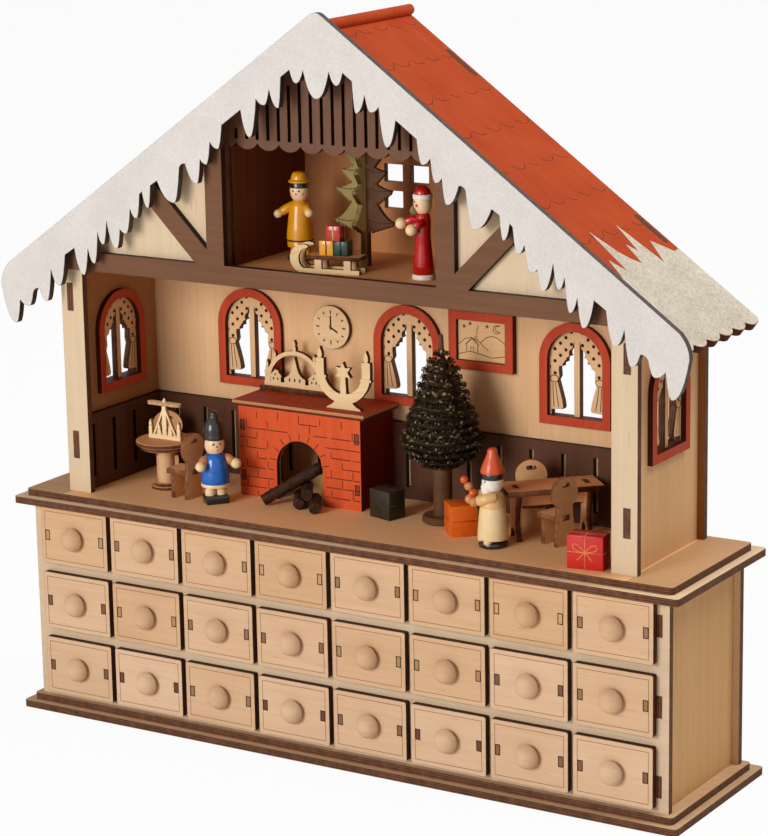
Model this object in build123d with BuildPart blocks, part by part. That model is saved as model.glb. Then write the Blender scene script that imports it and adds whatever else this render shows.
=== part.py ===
from build123d import *
import os
from math import atan, cos, degrees, hypot, radians, sin, sqrt

# Wooden advent calendar: a house with a snowy roof on a chest of drawers.
# Millimetres, +Z up, front towards -Y. The origin is on the surface that the calendar
# stands on, in the middle of its footprint.

# Sheet stock and fits
board = 4.0
thin_board = 3.0
slide_gap = 0.3
fit_gap = 0.1
overrun = 1.0
plate_corner = 2.5

# Chest of drawers
drawer_columns = 8
drawer_rows = 3
column_pitch = 50.0
row_pitch = 39.6
opening_width = 42.0
opening_height = 29.0
bottom_rail = 5.4
top_rail = 3.4
side_gap = 1.5
frame_ear = 4.25
cabinet_depth = 89.5
case_tab_height = 12.0
case_tab_pitch = 44.0
base_overhang = 8.5
base_back_overhang = 10.5
plinth_overhang = 3.9
cornice_overhang = 8.8
cornice_back_overhang = 10.3
floor_overhang = 3.4

# Drawer
drawer_front_width = 47.0
drawer_front_height = 34.0
drawer_front_corner = 1.2
drawer_length = 79.0
drawer_floor_thickness = 2.5
drawer_tab_height = 6.0
knob_diameter = 14.0
knob_reach = 8.0
knob_rim_height = 2.6
knob_neck_diameter = 9.0
knob_peg_diameter = 5.0

# House
house_setback = 5.7
house_depth = 82.9
house_width = 368.2
pillar_width = 15.2
wall_inset = 4.1
wall_tab_height = 16.0
wall_tab_low = 28.0
wall_tab_high = 115.0
room_height = 132.0
beam_height = 11.0
attic_half_width = 67.5
post_width = 11.4
attic_floor_drop = 2.0

# Roof
ridge_rise = 275.0
roof_slope = 0.7155
roof_length = 259.5
roof_front_overhang = 7.3
roof_back_overhang = 2.1
eave_scallops = 6
eave_scallop_depth = 3.5
eave_corner = 4.0
roof_tab_length = 22.5
roof_tab_upper = 43.0
roof_tab_lower = 185.2
ridge_cap_radius = 3.0
ridge_cap_lift = 2.2

# Snow fascia, whose icicles are shares of the half width and of the deepest icicle
fascia_rise = 11.0
fascia_half_width = 213.0
fascia_apex_radius = 6.0
icicle_depth = 42.0
eave_bulge_share = 1.026
eave_bulge_drop_share = 0.21
flank_lean_share = 0.25
flank_fall_share = 0.6
flank_belly_share = 0.45
icicle_group_shares = (
    ((0.0, 1.11), (0.038, 0.62), (0.060, 0.71), (0.078, 0.48)),
    ((0.105, 0.48), (0.115, 0.84), (0.141, 0.51), (0.158, 0.66), (0.181, 0.50), (0.203, 0.92), (0.229, 0.48)),
    ((0.288, 0.48), (0.303, 0.74), (0.326, 0.57), (0.340, 0.82), (0.358, 0.69), (0.371, 0.97), (0.405, 0.60)),
    ((0.425, 0.60), (0.445, 0.98), (0.496, 0.52)),
    ((0.518, 0.51), (0.528, 0.78), (0.546, 0.50)),
    ((0.554, 0.51), (0.567, 0.79), (0.586, 0.60), (0.602, 0.88), (0.621, 0.76), (0.634, 0.98), (0.664, 0.51),
     (0.678, 0.78), (0.695, 0.56), (0.709, 0.94), (0.729, 0.67), (0.745, 0.98), (0.774, 0.52)),
    ((0.806, 0.51), (0.829, 0.86), (0.855, 0.55), (0.874, 0.93), (0.897, 0.68)),
    ((0.919, 0.68), (0.936, 0.80), (0.964, 0.62), (0.981, 0.89)),
)
round_valley_rise = 1.4
round_valley_groups = (2, 6)

# Attic valance of scalloped planks
valance_bottom_rise = 64.0
scallop_count = 11
scallop_pitch = 13.9
scallop_depth = 3.7
plank_slot_width = 2.0
plank_slot_rise = 5.7
plank_slot_top_gap = 7.0

# Windows, with curtains cut in the wall itself
window_pitch = 107.0
window_width = 44.0
window_height = 58.0
window_sill_rise = 54.5
window_band = 5.0
mullion_width = 3.5
curtain_top_share = 0.88
curtain_edge_shares = ((0.17, 0.79), (0.25, 0.70), (0.38, 0.63), (0.52, 0.575), (0.66, 0.53))
curtain_knot_shares = ((0.64, 0.45), (0.72, 0.40))
curtain_skirt_shares = ((0.66, 0.33), (0.54, 0.18), (0.50, 0.10), (0.53, 0.07), (0.93, 0.06), (0.93, 0.0))
curtain_scallop_share = 0.28
attic_pane_width = 12.0
attic_pane_height = 10.0
attic_glazing_bar = 5.0
attic_window_rise = 179.0

# Wainscot
wainscot_height = 44.5
wainscot_slot_pitch = 20.0
wainscot_slot_width = 2.8
wainscot_slot_rise = 7.0
wainscot_slot_length = 31.5

# Clock and picture
clock_radius = 12.5
clock_x = -50.6
clock_rise = 95.0
picture_width = 41.0
picture_height = 33.0
picture_band = 5.0
picture_panel = 2.0
picture_x = 48.6
picture_rise = 96.5

# Fireplace
hearth_x = -50.0
hearth_width = 82.0
hearth_height = 53.0
hearth_depth = 36.4
hearth_side_inset = 1.0
hearth_tab_height = 6.0
hearth_tab_low = 12.0
hearth_tab_high = 41.5
arch_width = 31.2
arch_height = 36.0
mantel_overhang = 3.3
mantel_front_overhang = 1.5

# Firewood
log_radius = 3.4
log_facets = 12
log_length = 22.0
log_turn = 32.0
left_log_spot = (-42.0, 36.05)
right_log_spot = (-29.3, 32.55)
top_log_shift = 4.0
leaning_log_spot = (-65.2, 33.95)
leaning_log_foot_share = 0.92
leaning_log_run = 34.0
leaning_log_turn = 41.0

# Candle arch on the mantel
candle_arch_x = -71.7
candle_arch_setback = 32.65
candle_base_length = 42.0
candle_base_height = 2.4
candle_arch_half_width = 19.5
candle_arch_rise = 19.3
candle_arch_band = 2.4
candle_width = 2.4
candle_height = 6.0
candle_spread_shares = (-0.735, 0.0, 0.735)
end_candle_shift = 1.6
end_candle_rise = 8.5
village_shares = ((-0.90, 0.0), (-0.90, 0.18), (-0.69, 0.38), (-0.46, 0.18), (-0.46, 0.03), (-0.37, 0.03),
                  (-0.37, 0.16), (-0.22, 0.24), (-0.12, 0.42), (-0.06, 0.62), (0.0, 0.81),
                  (0.06, 0.62), (0.12, 0.42), (0.22, 0.24), (0.37, 0.16), (0.37, 0.03), (0.56, 0.03),
                  (0.56, 0.18), (0.75, 0.39), (0.90, 0.18), (0.90, 0.0))
plank_x = -67.9
plank_length = 53.0
plank_depth = 8.5
plank_thickness = 2.5

# Crescent candle holder on the mantel
crescent_x = -24.2
crescent_setback = 10.0
crescent_radius = 18.0
crescent_band = 5.4
crescent_foot_width = 22.8
crescent_foot_height = 6.0
crescent_arm_rise = 7.0
star_radius = 5.8
star_inner_share = 0.5
star_points = 6
star_post_width = 4.0

# Spiral tree
tree_x = 41.0
tree_setback = 54.95
tree_foot_radius = 11.6
tree_foot_height = 4.0
trunk_radius = 5.4
trunk_height = 26.5
foliage_height = 67.0
foliage_radius = 23.8
tier_waist_share = 0.80
tier_low_share = 0.25
tier_high_share = 0.75
tier_radius_shares = (0.50, 0.78, 0.92, 1.0, 0.90, 0.874, 0.84, 0.76, 0.66, 0.647, 0.567, 0.50, 0.45, 0.33, 0.20)

# Round table and its pyramid
round_table_x = -137.5
round_table_setback = 41.65
round_top_radius = 17.2
round_table_height = 29.0
round_top_thickness = 5.0
column_radius = 5.0
round_foot_radius = 9.0
round_foot_height = 4.0
pyramid_width = 22.5
pyramid_height = 20.0
pyramid_board = 2.0
pyramid_base_height = 2.3
pyramid_foot_inset = 3.2
pyramid_candle_width = 2.6
pyramid_candle_height = 11.0
pyramid_fir_x = 4.0
pyramid_fir_width = 3.8
pyramid_fir_height = 8.8
pyramid_stile = 2.4
rotor_length = 23.0
rotor_width = 4.0
rotor_thickness = 1.8
rotor_spike_radius = 1.2
rotor_spike_height = 2.6

# Long table
long_table_x = 107.2
long_table_wall_gap = 0.74
long_table_length = 54.0
long_table_width = 22.5
long_table_height = 29.0
table_turn = 45.0
table_leg_inset = 7.0
table_leg_waist = 10.0
table_tab_length = 8.0
table_apron_height = 8.0

# Chairs, each at a place and turned to face its table
chair_width = 17.6
chair_height = 38.0
chair_waist = 10.0
chair_waist_rise = 22.5
chair_seat_rise = 17.0
chair_seat_depth = 12.7
chair_leg_width = 13.0
chair_leg_inset = 3.0
chair_grip_width = 6.0
chair_grip_height = 2.4
chair_tab_length = 5.0
chair_table_gap = 8.0
round_chair_x = -112.3
round_chair_setback = 30.65
round_chair_turn = 86.0
wall_chair_x = -155.5
wall_chair_setback = 68.65
wall_chair_turn = 212.0
near_chair_along = 0.7
near_chair_twist = 28.0
far_chair_along = -5.4
far_chair_twist = -10.0

# Presents
green_present = (16.4, 12.3, 16.5)
green_present_spot = (9.1, 47.95)
orange_present = (16.2, 15.0, 17.5)
orange_present_spot = (61.9, 38.65)
red_present = (20.4, 11.7, 18.5)
red_present_spot = (153.3, 14.45)
present_edge = 0.6
green_present_turn = -16.0
orange_present_turn = -45.0
red_present_turn = 8.0

# Turned figures, with outlines as shares of each figure's height
blue_figure_height = 54.0
blue_figure_spot = (-93.0, 27.45)
blue_figure_turn = 50.0
cream_figure_height = 54.5
cream_figure_table_gap = 8.57685
cream_figure_table_side = 10.68664
cream_figure_turn = -35.0
yellow_figure_height = 49.5
yellow_figure_spot = (-46.0, 50.1)
yellow_figure_turn = 10.0
red_figure_height = 51.2
red_figure_spot = (44.5, 32.0)
red_figure_turn = -50.0
shoe_width_share = 0.28
shoe_depth_share = 0.19
shoe_height_share = 0.085
leg_radius_share = 0.052
leg_spread_share = 0.068
arm_radius_share = 0.045
hand_radius_share = 0.056
disc_radius_share = 0.145
short_coat_shares = ((0.152, 0.18), (0.152, 0.235), (0.127, 0.49), (0.118, 0.56), (0.060, 0.575),
                     (0.085, 0.59), (0.105, 0.63), (0.102, 0.675), (0.088, 0.71))
yellow_coat_shares = ((0.157, 0.22), (0.155, 0.30), (0.112, 0.60), (0.095, 0.66), (0.060, 0.68),
                      (0.085, 0.70), (0.1085, 0.77), (0.105, 0.83), (0.085, 0.88))
long_coat_shares = ((0.155, 0.055), (0.150, 0.20), (0.115, 0.48), (0.095, 0.545), (0.060, 0.565),
                    (0.088, 0.585), (0.108, 0.64), (0.105, 0.70), (0.088, 0.75))
robe_shares = ((0.122, 0.0), (0.122, 0.056), (0.095, 0.30), (0.080, 0.48), (0.084, 0.62), (0.055, 0.70),
               (0.080, 0.72), (0.098, 0.78), (0.096, 0.84), (0.080, 0.885))
tall_hat_shares = ((0.122, 0.71), (0.124, 0.73), (0.120, 0.79), (0.103, 0.81), (0.090, 0.87), (0.052, 0.895),
                   (0.048, 0.915), (0.062, 0.945), (0.050, 0.985), (0.0, 1.0))
brim_hat_shares = ((0.122, 0.88), (0.120, 0.905), (0.090, 0.915), (0.078, 0.965), (0.050, 0.995), (0.0, 1.0))
cone_hat_shares = ((0.112, 0.75), (0.114, 0.785), (0.070, 0.90), (0.038, 0.985), (0.0, 1.0))
cap_shares = ((0.098, 0.885), (0.100, 0.92), (0.075, 0.96), (0.032, 0.99), (0.0, 1.0))
low_arm_shares = ((0.10, 0.50), (0.175, 0.38))
wide_arm_shares = ((0.10, 0.54), (0.27, 0.50))
held_arm_shares = ((0.09, 0.50), (0.19, 0.46))
raised_arm_shares = ((0.09, 0.60), (0.24, 0.55))

# Sled with parcels
sled_x = -12.1
sled_setback = 25.45
sled_turn = 10.6
sled_length = 40.5
sled_width = 11.0
runner_board = 2.2
runner_height = 2.6
sled_deck_rise = 7.6
sled_deck_thickness = 2.2
sled_deck_length = 31.0
sled_post_width = 4.0
sled_post_spread = 17.0
curl_radius = 7.8
curl_inner_radius = 6.4
curl_shift = 3.6
parcel_size = 8.2

# Crossed fir boards
fir_x = -3.5
fir_setback = 50.65
fir_height = 80.0
fir_half_width = 19.0
fir_trunk_width = 5.0
fir_cross_share = 0.65
fir_tier_shares = ((1.0, 0.3125, 0.40, 0.44), (0.92, 0.5325, 0.36, 0.575), (0.737, 0.6625, 0.32, 0.69),
                   (0.61, 0.7725, 0.25, 0.79), (0.42, 0.8625, 0.17, 0.88), (0.28, 0.9375, 0.0, 1.0))
fir_swoop_share = 0.3
fir_skirt_share = 0.24
fir_teeth = 4
fir_tooth_share = 0.022

os.makedirs("parts", exist_ok=True)

# Levels, from the surface it stands on upwards
plinth_bottom = board
frame_bottom = plinth_bottom + board
frame_height = bottom_rail + (drawer_rows - 1) * row_pitch + opening_height + top_rail
cornice_bottom = frame_bottom + frame_height
floor_bottom = cornice_bottom + board
house_floor = floor_bottom + board
beam_bottom = house_floor + room_height
beam_top = beam_bottom + beam_height
attic_floor_top = beam_top - attic_floor_drop
ridge_top = house_floor + ridge_rise
roof_thickness_upright = board * hypot(1, roof_slope)
roof_angle = degrees(atan(roof_slope))

# Planes from front to back
total_depth = knob_reach + board + slide_gap + cabinet_depth + base_back_overhang
frame_front = -total_depth / 2 + knob_reach + board + slide_gap
frame_back = frame_front + board
cabinet_rear = frame_front + cabinet_depth
cabinet_inner_rear = cabinet_rear - board
drawer_plane = frame_front - slide_gap
front_plane = drawer_plane - board
gable_front = frame_front + house_setback
gable_back = gable_front + board
house_rear = gable_front + house_depth
wall_front = house_rear - board
wainscot_front = wall_front - thin_board
roof_front = gable_front - roof_front_overhang
roof_rear = house_rear + roof_back_overhang
room_middle = (gable_back + wall_front) / 2

# Half widths of the chest and the house
side_inner = (drawer_columns - 1) * column_pitch / 2 + opening_width / 2 + side_gap
side_outer = side_inner + board
frame_half_width = side_outer + frame_ear
house_half_width = house_width / 2
wall_outer = house_half_width - wall_inset
wall_inner = wall_outer - board
case_tab_levels = [frame_bottom + frame_height / 2 + i * case_tab_pitch for i in (-1, 0, 1)]
wall_tab_levels = [house_floor + wall_tab_low, house_floor + wall_tab_high]
row_bottoms = [frame_bottom + bottom_rail + i * row_pitch for i in range(drawer_rows)]
column_centres = [(i - (drawer_columns - 1) / 2) * column_pitch for i in range(drawer_columns)]
divider_centres = [(i - (drawer_columns - 2) / 2) * column_pitch for i in range(drawer_columns - 1)]


def upright(y):
    """A sketch plane across the object, at depth y, that extrudes towards the front."""
    return Plane.XZ.offset(-y)


def sideways(x):
    """A sketch plane along the object, at x, that extrudes towards +X."""
    return Plane.YZ.offset(x)


def roof_under(x):
    """Height of the roof's underside at x."""
    return ridge_top - abs(x) * roof_slope - roof_thickness_upright


def room_spot(x, setback, level, turn=0):
    """A place in the house, by its distance behind the drawer fronts."""
    return Location((x, front_plane + setback, level), (0, 0, turn))


def write(piece, label):
    piece.part.label = label
    export_step(piece.part, f"parts/{label}.step")


def write_group(pieces, label):
    """One node of several separate solids."""
    export_step(Compound(label=label, children=pieces), f"parts/{label}.step")


def plate(level, overhang, back_overhang):
    """A flat plate with rounded corners, reaching past the chest on all sides."""
    front = frame_front - overhang
    back = cabinet_rear + back_overhang
    with BuildPart() as piece:
        with BuildSketch(Plane.XY.offset(level)):
            with Locations((0, (front + back) / 2)):
                RectangleRounded(2 * (frame_half_width + overhang), back - front, plate_corner)
        extrude(amount=board)
    return piece


# Stepped plates under and over the chest
write(plate(0, base_overhang, base_back_overhang), "base_plate")
write(plate(plinth_bottom, plinth_overhang, plinth_overhang), "plinth_plate")
write(plate(cornice_bottom, cornice_overhang, cornice_back_overhang), "cornice_plate")
write(plate(floor_bottom, floor_overhang, floor_overhang), "floor_plate")

# Front board of the chest, with an opening for each drawer and mortises for the sides
side_middle = side_inner + board / 2
with BuildPart() as face_frame:
    with BuildSketch(upright(frame_back)):
        with Locations((0, frame_bottom + frame_height / 2)):
            Rectangle(2 * frame_half_width, frame_height)
        with Locations([(x, z + opening_height / 2) for x in column_centres for z in row_bottoms]):
            Rectangle(opening_width, opening_height, mode=Mode.SUBTRACT)
        with Locations([(side * side_middle, z) for side in (-1, 1) for z in case_tab_levels]):
            Rectangle(board + 2 * fit_gap, case_tab_height + 2 * fit_gap, mode=Mode.SUBTRACT)
    extrude(amount=board)
write(face_frame, "face_frame")

with BuildPart() as cabinet_back:
    with BuildSketch(upright(cabinet_rear)):
        with Locations((0, frame_bottom + frame_height / 2)):
            Rectangle(2 * frame_half_width, frame_height)
        with Locations([(side * side_middle, z) for side in (-1, 1) for z in case_tab_levels]):
            Rectangle(board + 2 * fit_gap, case_tab_height + 2 * fit_gap, mode=Mode.SUBTRACT)
    extrude(amount=board)
write(cabinet_back, "cabinet_back")


def cabinet_side(side):
    """A side panel whose tabs pass through the front and back boards."""
    with BuildPart() as panel:
        with BuildSketch(sideways(side * side_middle - board / 2)):
            with Locations(((frame_back + cabinet_inner_rear) / 2, frame_bottom + frame_height / 2)):
                Rectangle(cabinet_inner_rear - frame_back, frame_height)
            with Locations([((frame_front + cabinet_rear) / 2, z) for z in case_tab_levels]):
                Rectangle(cabinet_rear - frame_front, case_tab_height)
        extrude(amount=board)
    return panel.part


write_group([cabinet_side(-1), cabinet_side(1)], "cabinet_sides")

# Shelves and dividers, each slotted to half its depth where they cross
lap_width = thin_board + 2 * fit_gap
lap_plane = (frame_back + cabinet_inner_rear) / 2
grid_depth = cabinet_inner_rear - frame_back - 2 * fit_gap


def shelf(level):
    with BuildPart() as piece:
        with BuildSketch(Plane.XY.offset(level - thin_board)):
            with Locations((0, lap_plane)):
                Rectangle(2 * (side_inner - fit_gap), grid_depth)
            with Locations([(x, lap_plane + grid_depth / 2) for x in divider_centres]):
                Rectangle(lap_width, grid_depth, mode=Mode.SUBTRACT)
        extrude(amount=thin_board)
    return piece.part


def divider(x):
    with BuildPart() as piece:
        with BuildSketch(sideways(x - thin_board / 2)):
            with Locations((lap_plane, frame_bottom + frame_height / 2)):
                Rectangle(grid_depth, frame_height - 2 * fit_gap)
            with Locations([(lap_plane - grid_depth / 2, z - thin_board / 2) for z in row_bottoms]):
                Rectangle(grid_depth, lap_width, mode=Mode.SUBTRACT)
        extrude(amount=thin_board)
    return piece.part


write_group([shelf(z) for z in row_bottoms] + [divider(x) for x in divider_centres], "drawer_grid")

# One drawer about the middle of its opening, with the back of its front at y = 0
box_width = opening_width - 2 * slide_gap
box_height = opening_height - 2 * slide_gap
box_side_middle = (box_width - thin_board) / 2
box_inner_width = box_width - 2 * thin_board
box_bottom = -box_height / 2

with BuildPart() as drawer_front:
    with BuildSketch(upright(0)):
        RectangleRounded(drawer_front_width, drawer_front_height, drawer_front_corner)
        with Locations((-box_side_middle, 0), (box_side_middle, 0)):
            Rectangle(thin_board + 2 * fit_gap, drawer_tab_height + 2 * fit_gap, mode=Mode.SUBTRACT)
        Circle(knob_peg_diameter / 2 + fit_gap, mode=Mode.SUBTRACT)
    extrude(amount=board)

with BuildPart() as drawer_side:
    with BuildSketch(sideways(-thin_board / 2)):
        with Locations((drawer_length / 2, 0)):
            Rectangle(drawer_length, box_height)
        with Locations(((drawer_length - board) / 2, 0)):
            Rectangle(drawer_length + board, drawer_tab_height)
    extrude(amount=thin_board)

with BuildPart() as drawer_back:
    with BuildSketch(upright(drawer_length)):
        Rectangle(box_inner_width - 2 * fit_gap, box_height)
    extrude(amount=thin_board)

with BuildPart() as drawer_floor:
    with BuildSketch(Plane.XY.offset(box_bottom)):
        with Locations((0, (drawer_length - thin_board) / 2)):
            Rectangle(box_inner_width - 2 * fit_gap, drawer_length - thin_board - 2 * fit_gap)
    extrude(amount=drawer_floor_thickness)

knob_radius = knob_diameter / 2
dome_height = knob_reach - knob_rim_height
dome_radius = (knob_radius**2 + dome_height**2) / (2 * dome_height)
with BuildPart() as drawer_knob:
    with BuildSketch():
        with BuildLine():
            neck = Polyline(
                (0, -board - knob_reach),
                (0, 0),
                (knob_peg_diameter / 2, 0),
                (knob_peg_diameter / 2, -board),
                (knob_neck_diameter / 2, -board),
                (knob_radius, -board - knob_rim_height),
            )
            RadiusArc(neck @ 1, neck @ 0, dome_radius)
        make_face()
    revolve(axis=Axis.Y)

drawer_pieces = [
    drawer_front.part,
    drawer_side.part.moved(Location((-box_side_middle, 0, 0))),
    drawer_side.part.moved(Location((box_side_middle, 0, 0))),
    drawer_back.part,
    drawer_floor.part,
    drawer_knob.part,
]
for row, level in enumerate(reversed(row_bottoms)):
    for column, x in enumerate(column_centres):
        spot = Location((x, drawer_plane, level + opening_height / 2))
        number = row * drawer_columns + column + 1
        write_group([piece.moved(spot) for piece in drawer_pieces], f"drawer_{number:02d}")

# Curtained window cut in a wall, about the middle of its sill
window_inner_width = window_width - 2 * window_band
window_inner_height = window_height - 2 * window_band
window_sill = house_floor + window_sill_rise
window_spots = [-window_pitch, 0, window_pitch]


def curtain_point(share):
    return (share[0] * window_inner_width / 2, window_band + share[1] * window_inner_height)


with BuildSketch() as curtain_opening:
    with BuildLine():
        top = (mullion_width / 2, window_band + curtain_top_share * window_inner_height)
        folds = [curtain_point(share) for share in curtain_edge_shares]
        Line(top, folds[0])
        for start, end in zip(folds, folds[1:]):
            SagittaArc(start, end, curtain_scallop_share * hypot(end[0] - start[0], end[1] - start[1]))
        knot = [folds[-1]] + [curtain_point(share) for share in curtain_knot_shares + curtain_skirt_shares]
        Polyline(*knot, (mullion_width / 2, window_band), top)
    make_face()
    mirror(about=Plane.YZ)


def arch(width, height):
    """A round-headed outline that stands on its own base line."""
    with BuildSketch() as outline:
        with BuildLine():
            sides = Polyline(
                (-width / 2, height - width / 2),
                (-width / 2, 0),
                (width / 2, 0),
                (width / 2, height - width / 2),
            )
            ThreePointArc(sides @ 1, (0, height), sides @ 0)
        make_face()
    return outline.sketch


with BuildSketch() as window_frame:
    add(arch(window_width, window_height))
    with Locations((0, window_band)):
        add(arch(window_inner_width, window_inner_height), mode=Mode.SUBTRACT)


def roof_tab_place(along):
    """Middle of a tab in the roof's thickness, at a distance down the slope from the ridge."""
    x = along * cos(radians(roof_angle)) - board / 2 * sin(radians(roof_angle))
    z = ridge_top - along * sin(radians(roof_angle)) - board / 2 * cos(radians(roof_angle))
    return x, z


# Back wall of the house, up to the roof, with tabs through the roof panels
wall_middle = wall_inner + board / 2
with BuildPart() as house_back_wall:
    with BuildSketch(upright(house_rear)):
        Polygon(
            (-house_half_width, house_floor),
            (house_half_width, house_floor),
            (house_half_width, roof_under(house_half_width)),
            (0, roof_under(0)),
            (-house_half_width, roof_under(house_half_width)),
            align=None,
        )
        for along in (roof_tab_upper, roof_tab_lower):
            tab_x, tab_z = roof_tab_place(along)
            for side in (-1, 1):
                with Locations(Location((side * tab_x, tab_z), -side * roof_angle)):
                    Rectangle(roof_tab_length, board)
        with Locations([(x, window_sill) for x in window_spots]):
            add(curtain_opening.sketch, mode=Mode.SUBTRACT)
        with Locations((0, house_floor + attic_window_rise)):
            pane_pitch = (attic_pane_width + attic_glazing_bar, attic_pane_height + attic_glazing_bar)
            with GridLocations(*pane_pitch, 2, 2):
                Rectangle(attic_pane_width, attic_pane_height, mode=Mode.SUBTRACT)
        with Locations([(side * wall_middle, z) for side in (-1, 1) for z in wall_tab_levels]):
            Rectangle(board + 2 * fit_gap, wall_tab_height + 2 * fit_gap, mode=Mode.SUBTRACT)
    extrude(amount=board)
write(house_back_wall, "house_back_wall")


def house_side(side):
    """A side wall with one curtained window, bevelled to the roof, with tabs at both ends."""
    near, far = side * wall_inner, side * wall_outer
    with BuildPart() as wall:
        with BuildSketch(upright(wall_front)):
            Polygon(
                (near, house_floor),
                (far, house_floor),
                (far, roof_under(far)),
                (near, roof_under(near)),
                align=None,
            )
        extrude(amount=wall_front - gable_back)
        with BuildSketch(sideways(side * wall_middle - board / 2)):
            with Locations([((gable_front + house_rear) / 2, z) for z in wall_tab_levels]):
                Rectangle(house_depth, wall_tab_height)
        extrude(amount=board)
        with BuildSketch(sideways(side * wall_middle - board / 2)):
            with Locations((room_middle, window_sill)):
                add(curtain_opening.sketch)
        extrude(amount=board, mode=Mode.SUBTRACT)
    return wall.part


write_group([house_side(-1), house_side(1)], "house_sides")

# Front gable: the two pillars and the gable in one board, open at the room and the attic
pillar_inner = house_half_width - pillar_width
with BuildPart() as front_gable:
    with BuildSketch(upright(gable_back)):
        with BuildLine():
            right_half = Polyline(
                (0, beam_bottom),
                (pillar_inner, beam_bottom),
                (pillar_inner, house_floor),
                (house_half_width, house_floor),
                (house_half_width, roof_under(house_half_width)),
                (attic_half_width, roof_under(attic_half_width)),
                (attic_half_width, attic_floor_top),
                (0, attic_floor_top),
            )
            mirror(right_half, about=Plane.YZ)
        make_face()
        with Locations([(side * wall_middle, z) for side in (-1, 1) for z in wall_tab_levels]):
            Rectangle(board + 2 * fit_gap, wall_tab_height + 2 * fit_gap, mode=Mode.SUBTRACT)
    extrude(amount=board)
write(front_gable, "front_gable")

# Timber frame laid on the gable: beam, posts and braces in one board
post_outer = attic_half_width + post_width
brace_reach = post_width / sqrt(2)
beam_corner = (roof_under(0) - beam_top) / roof_slope
brace_low = (roof_under(0) - beam_top + post_outer + brace_reach) / (1 + roof_slope)
brace_high = (roof_under(0) - beam_top - brace_reach + post_outer) / (1 + roof_slope)
with BuildPart() as timber_frame:
    with BuildSketch(upright(gable_front)):
        Polygon(
            (0, beam_bottom),
            (house_half_width, beam_bottom),
            (house_half_width, roof_under(house_half_width)),
            (beam_corner, beam_top),
            (0, beam_top),
            align=None,
        )
        Polygon(
            (attic_half_width, beam_top),
            (post_outer, beam_top),
            (post_outer, roof_under(post_outer)),
            (attic_half_width, roof_under(attic_half_width)),
            align=None,
        )
        Polygon(
            (post_outer, beam_top),
            (post_outer + brace_reach, beam_top),
            (brace_low, roof_under(brace_low)),
            (brace_high, roof_under(brace_high)),
            (post_outer, beam_top + brace_reach),
            align=None,
        )
        mirror(about=Plane.YZ)
    extrude(amount=board)
write(timber_frame, "timber_frame")

with BuildPart() as attic_floor:
    with BuildSketch(Plane.XY.offset(attic_floor_top - board)):
        with Locations((0, room_middle)):
            Rectangle(2 * wall_inner, wall_front - gable_back)
    extrude(amount=board)
write(attic_floor, "attic_floor")

# Valance of upright planks, glued behind the gable at the top of the attic opening
valance_half_width = scallop_count * scallop_pitch / 2
valance_bottom = beam_top + valance_bottom_rise
cusp_level = valance_bottom + scallop_depth
with BuildPart() as attic_valance:
    with BuildSketch(upright(gable_back + thin_board)):
        with BuildLine():
            rim = Polyline(
                (-valance_half_width, cusp_level),
                (-valance_half_width, roof_under(valance_half_width)),
                (0, roof_under(0)),
                (valance_half_width, roof_under(valance_half_width)),
                (valance_half_width, cusp_level),
            )
            for i in range(scallop_count):
                right_cusp = valance_half_width - i * scallop_pitch
                ThreePointArc(
                    (right_cusp, cusp_level),
                    (right_cusp - scallop_pitch / 2, valance_bottom),
                    (right_cusp - scallop_pitch, cusp_level),
                )
        make_face()
        for i in range(2 - scallop_count, scallop_count - 1):
            slot_x = i * scallop_pitch / 2
            slot_bottom = valance_bottom + plank_slot_rise
            slot_top = roof_under(slot_x) - plank_slot_top_gap
            if slot_top > slot_bottom:
                with Locations((slot_x, (slot_bottom + slot_top) / 2)):
                    Rectangle(plank_slot_width, slot_top - slot_bottom, mode=Mode.SUBTRACT)
    extrude(amount=thin_board)
write(attic_valance, "attic_valance")


def attic_cheek(side):
    """A side of the attic room, bevelled to the roof."""
    near, far = side * attic_half_width, side * (attic_half_width + board)
    with BuildPart() as cheek:
        with BuildSketch(upright(wall_front)):
            Polygon(
                (near, attic_floor_top),
                (far, attic_floor_top),
                (far, roof_under(far)),
                (near, roof_under(near)),
                align=None,
            )
        extrude(amount=wall_front - gable_back - thin_board)
    return cheek.part


write_group([attic_cheek(-1), attic_cheek(1)], "attic_cheeks")

# Roof panels, sketched on the slope from the ridge down, with a scalloped eave
roof_depth = roof_rear - roof_front
roof_middle = (roof_front + roof_rear) / 2
eave_pitch = roof_depth / eave_scallops
slope_direction = (cos(radians(roof_angle)), 0, -sin(radians(roof_angle)))
slope_normal = (sin(radians(roof_angle)), 0, cos(radians(roof_angle)))
roof_plane = Plane(origin=(0, roof_middle, ridge_top), x_dir=slope_direction, z_dir=slope_normal)
tab_depth = house_rear - board / 2 - roof_middle
with BuildPart() as right_roof:
    with BuildSketch(roof_plane):
        with BuildLine():
            slope_edges = Polyline(
                (roof_length, roof_depth / 2),
                (0, roof_depth / 2),
                (0, -roof_depth / 2),
                (roof_length, -roof_depth / 2),
            )
            for i in range(eave_scallops):
                near_cusp = -roof_depth / 2 + i * eave_pitch
                ThreePointArc(
                    (roof_length, near_cusp),
                    (roof_length + eave_scallop_depth, near_cusp + eave_pitch / 2),
                    (roof_length, near_cusp + eave_pitch),
                )
        make_face()
        with Locations((roof_tab_upper, tab_depth), (roof_tab_lower, tab_depth)):
            Rectangle(roof_tab_length + 2 * fit_gap, board + 2 * fit_gap, mode=Mode.SUBTRACT)
    extrude(amount=-board)
    split(bisect_by=Plane.YZ, keep=Keep.TOP)
write_group([right_roof.part, right_roof.part.mirror(Plane.YZ)], "roof_panels")

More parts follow.
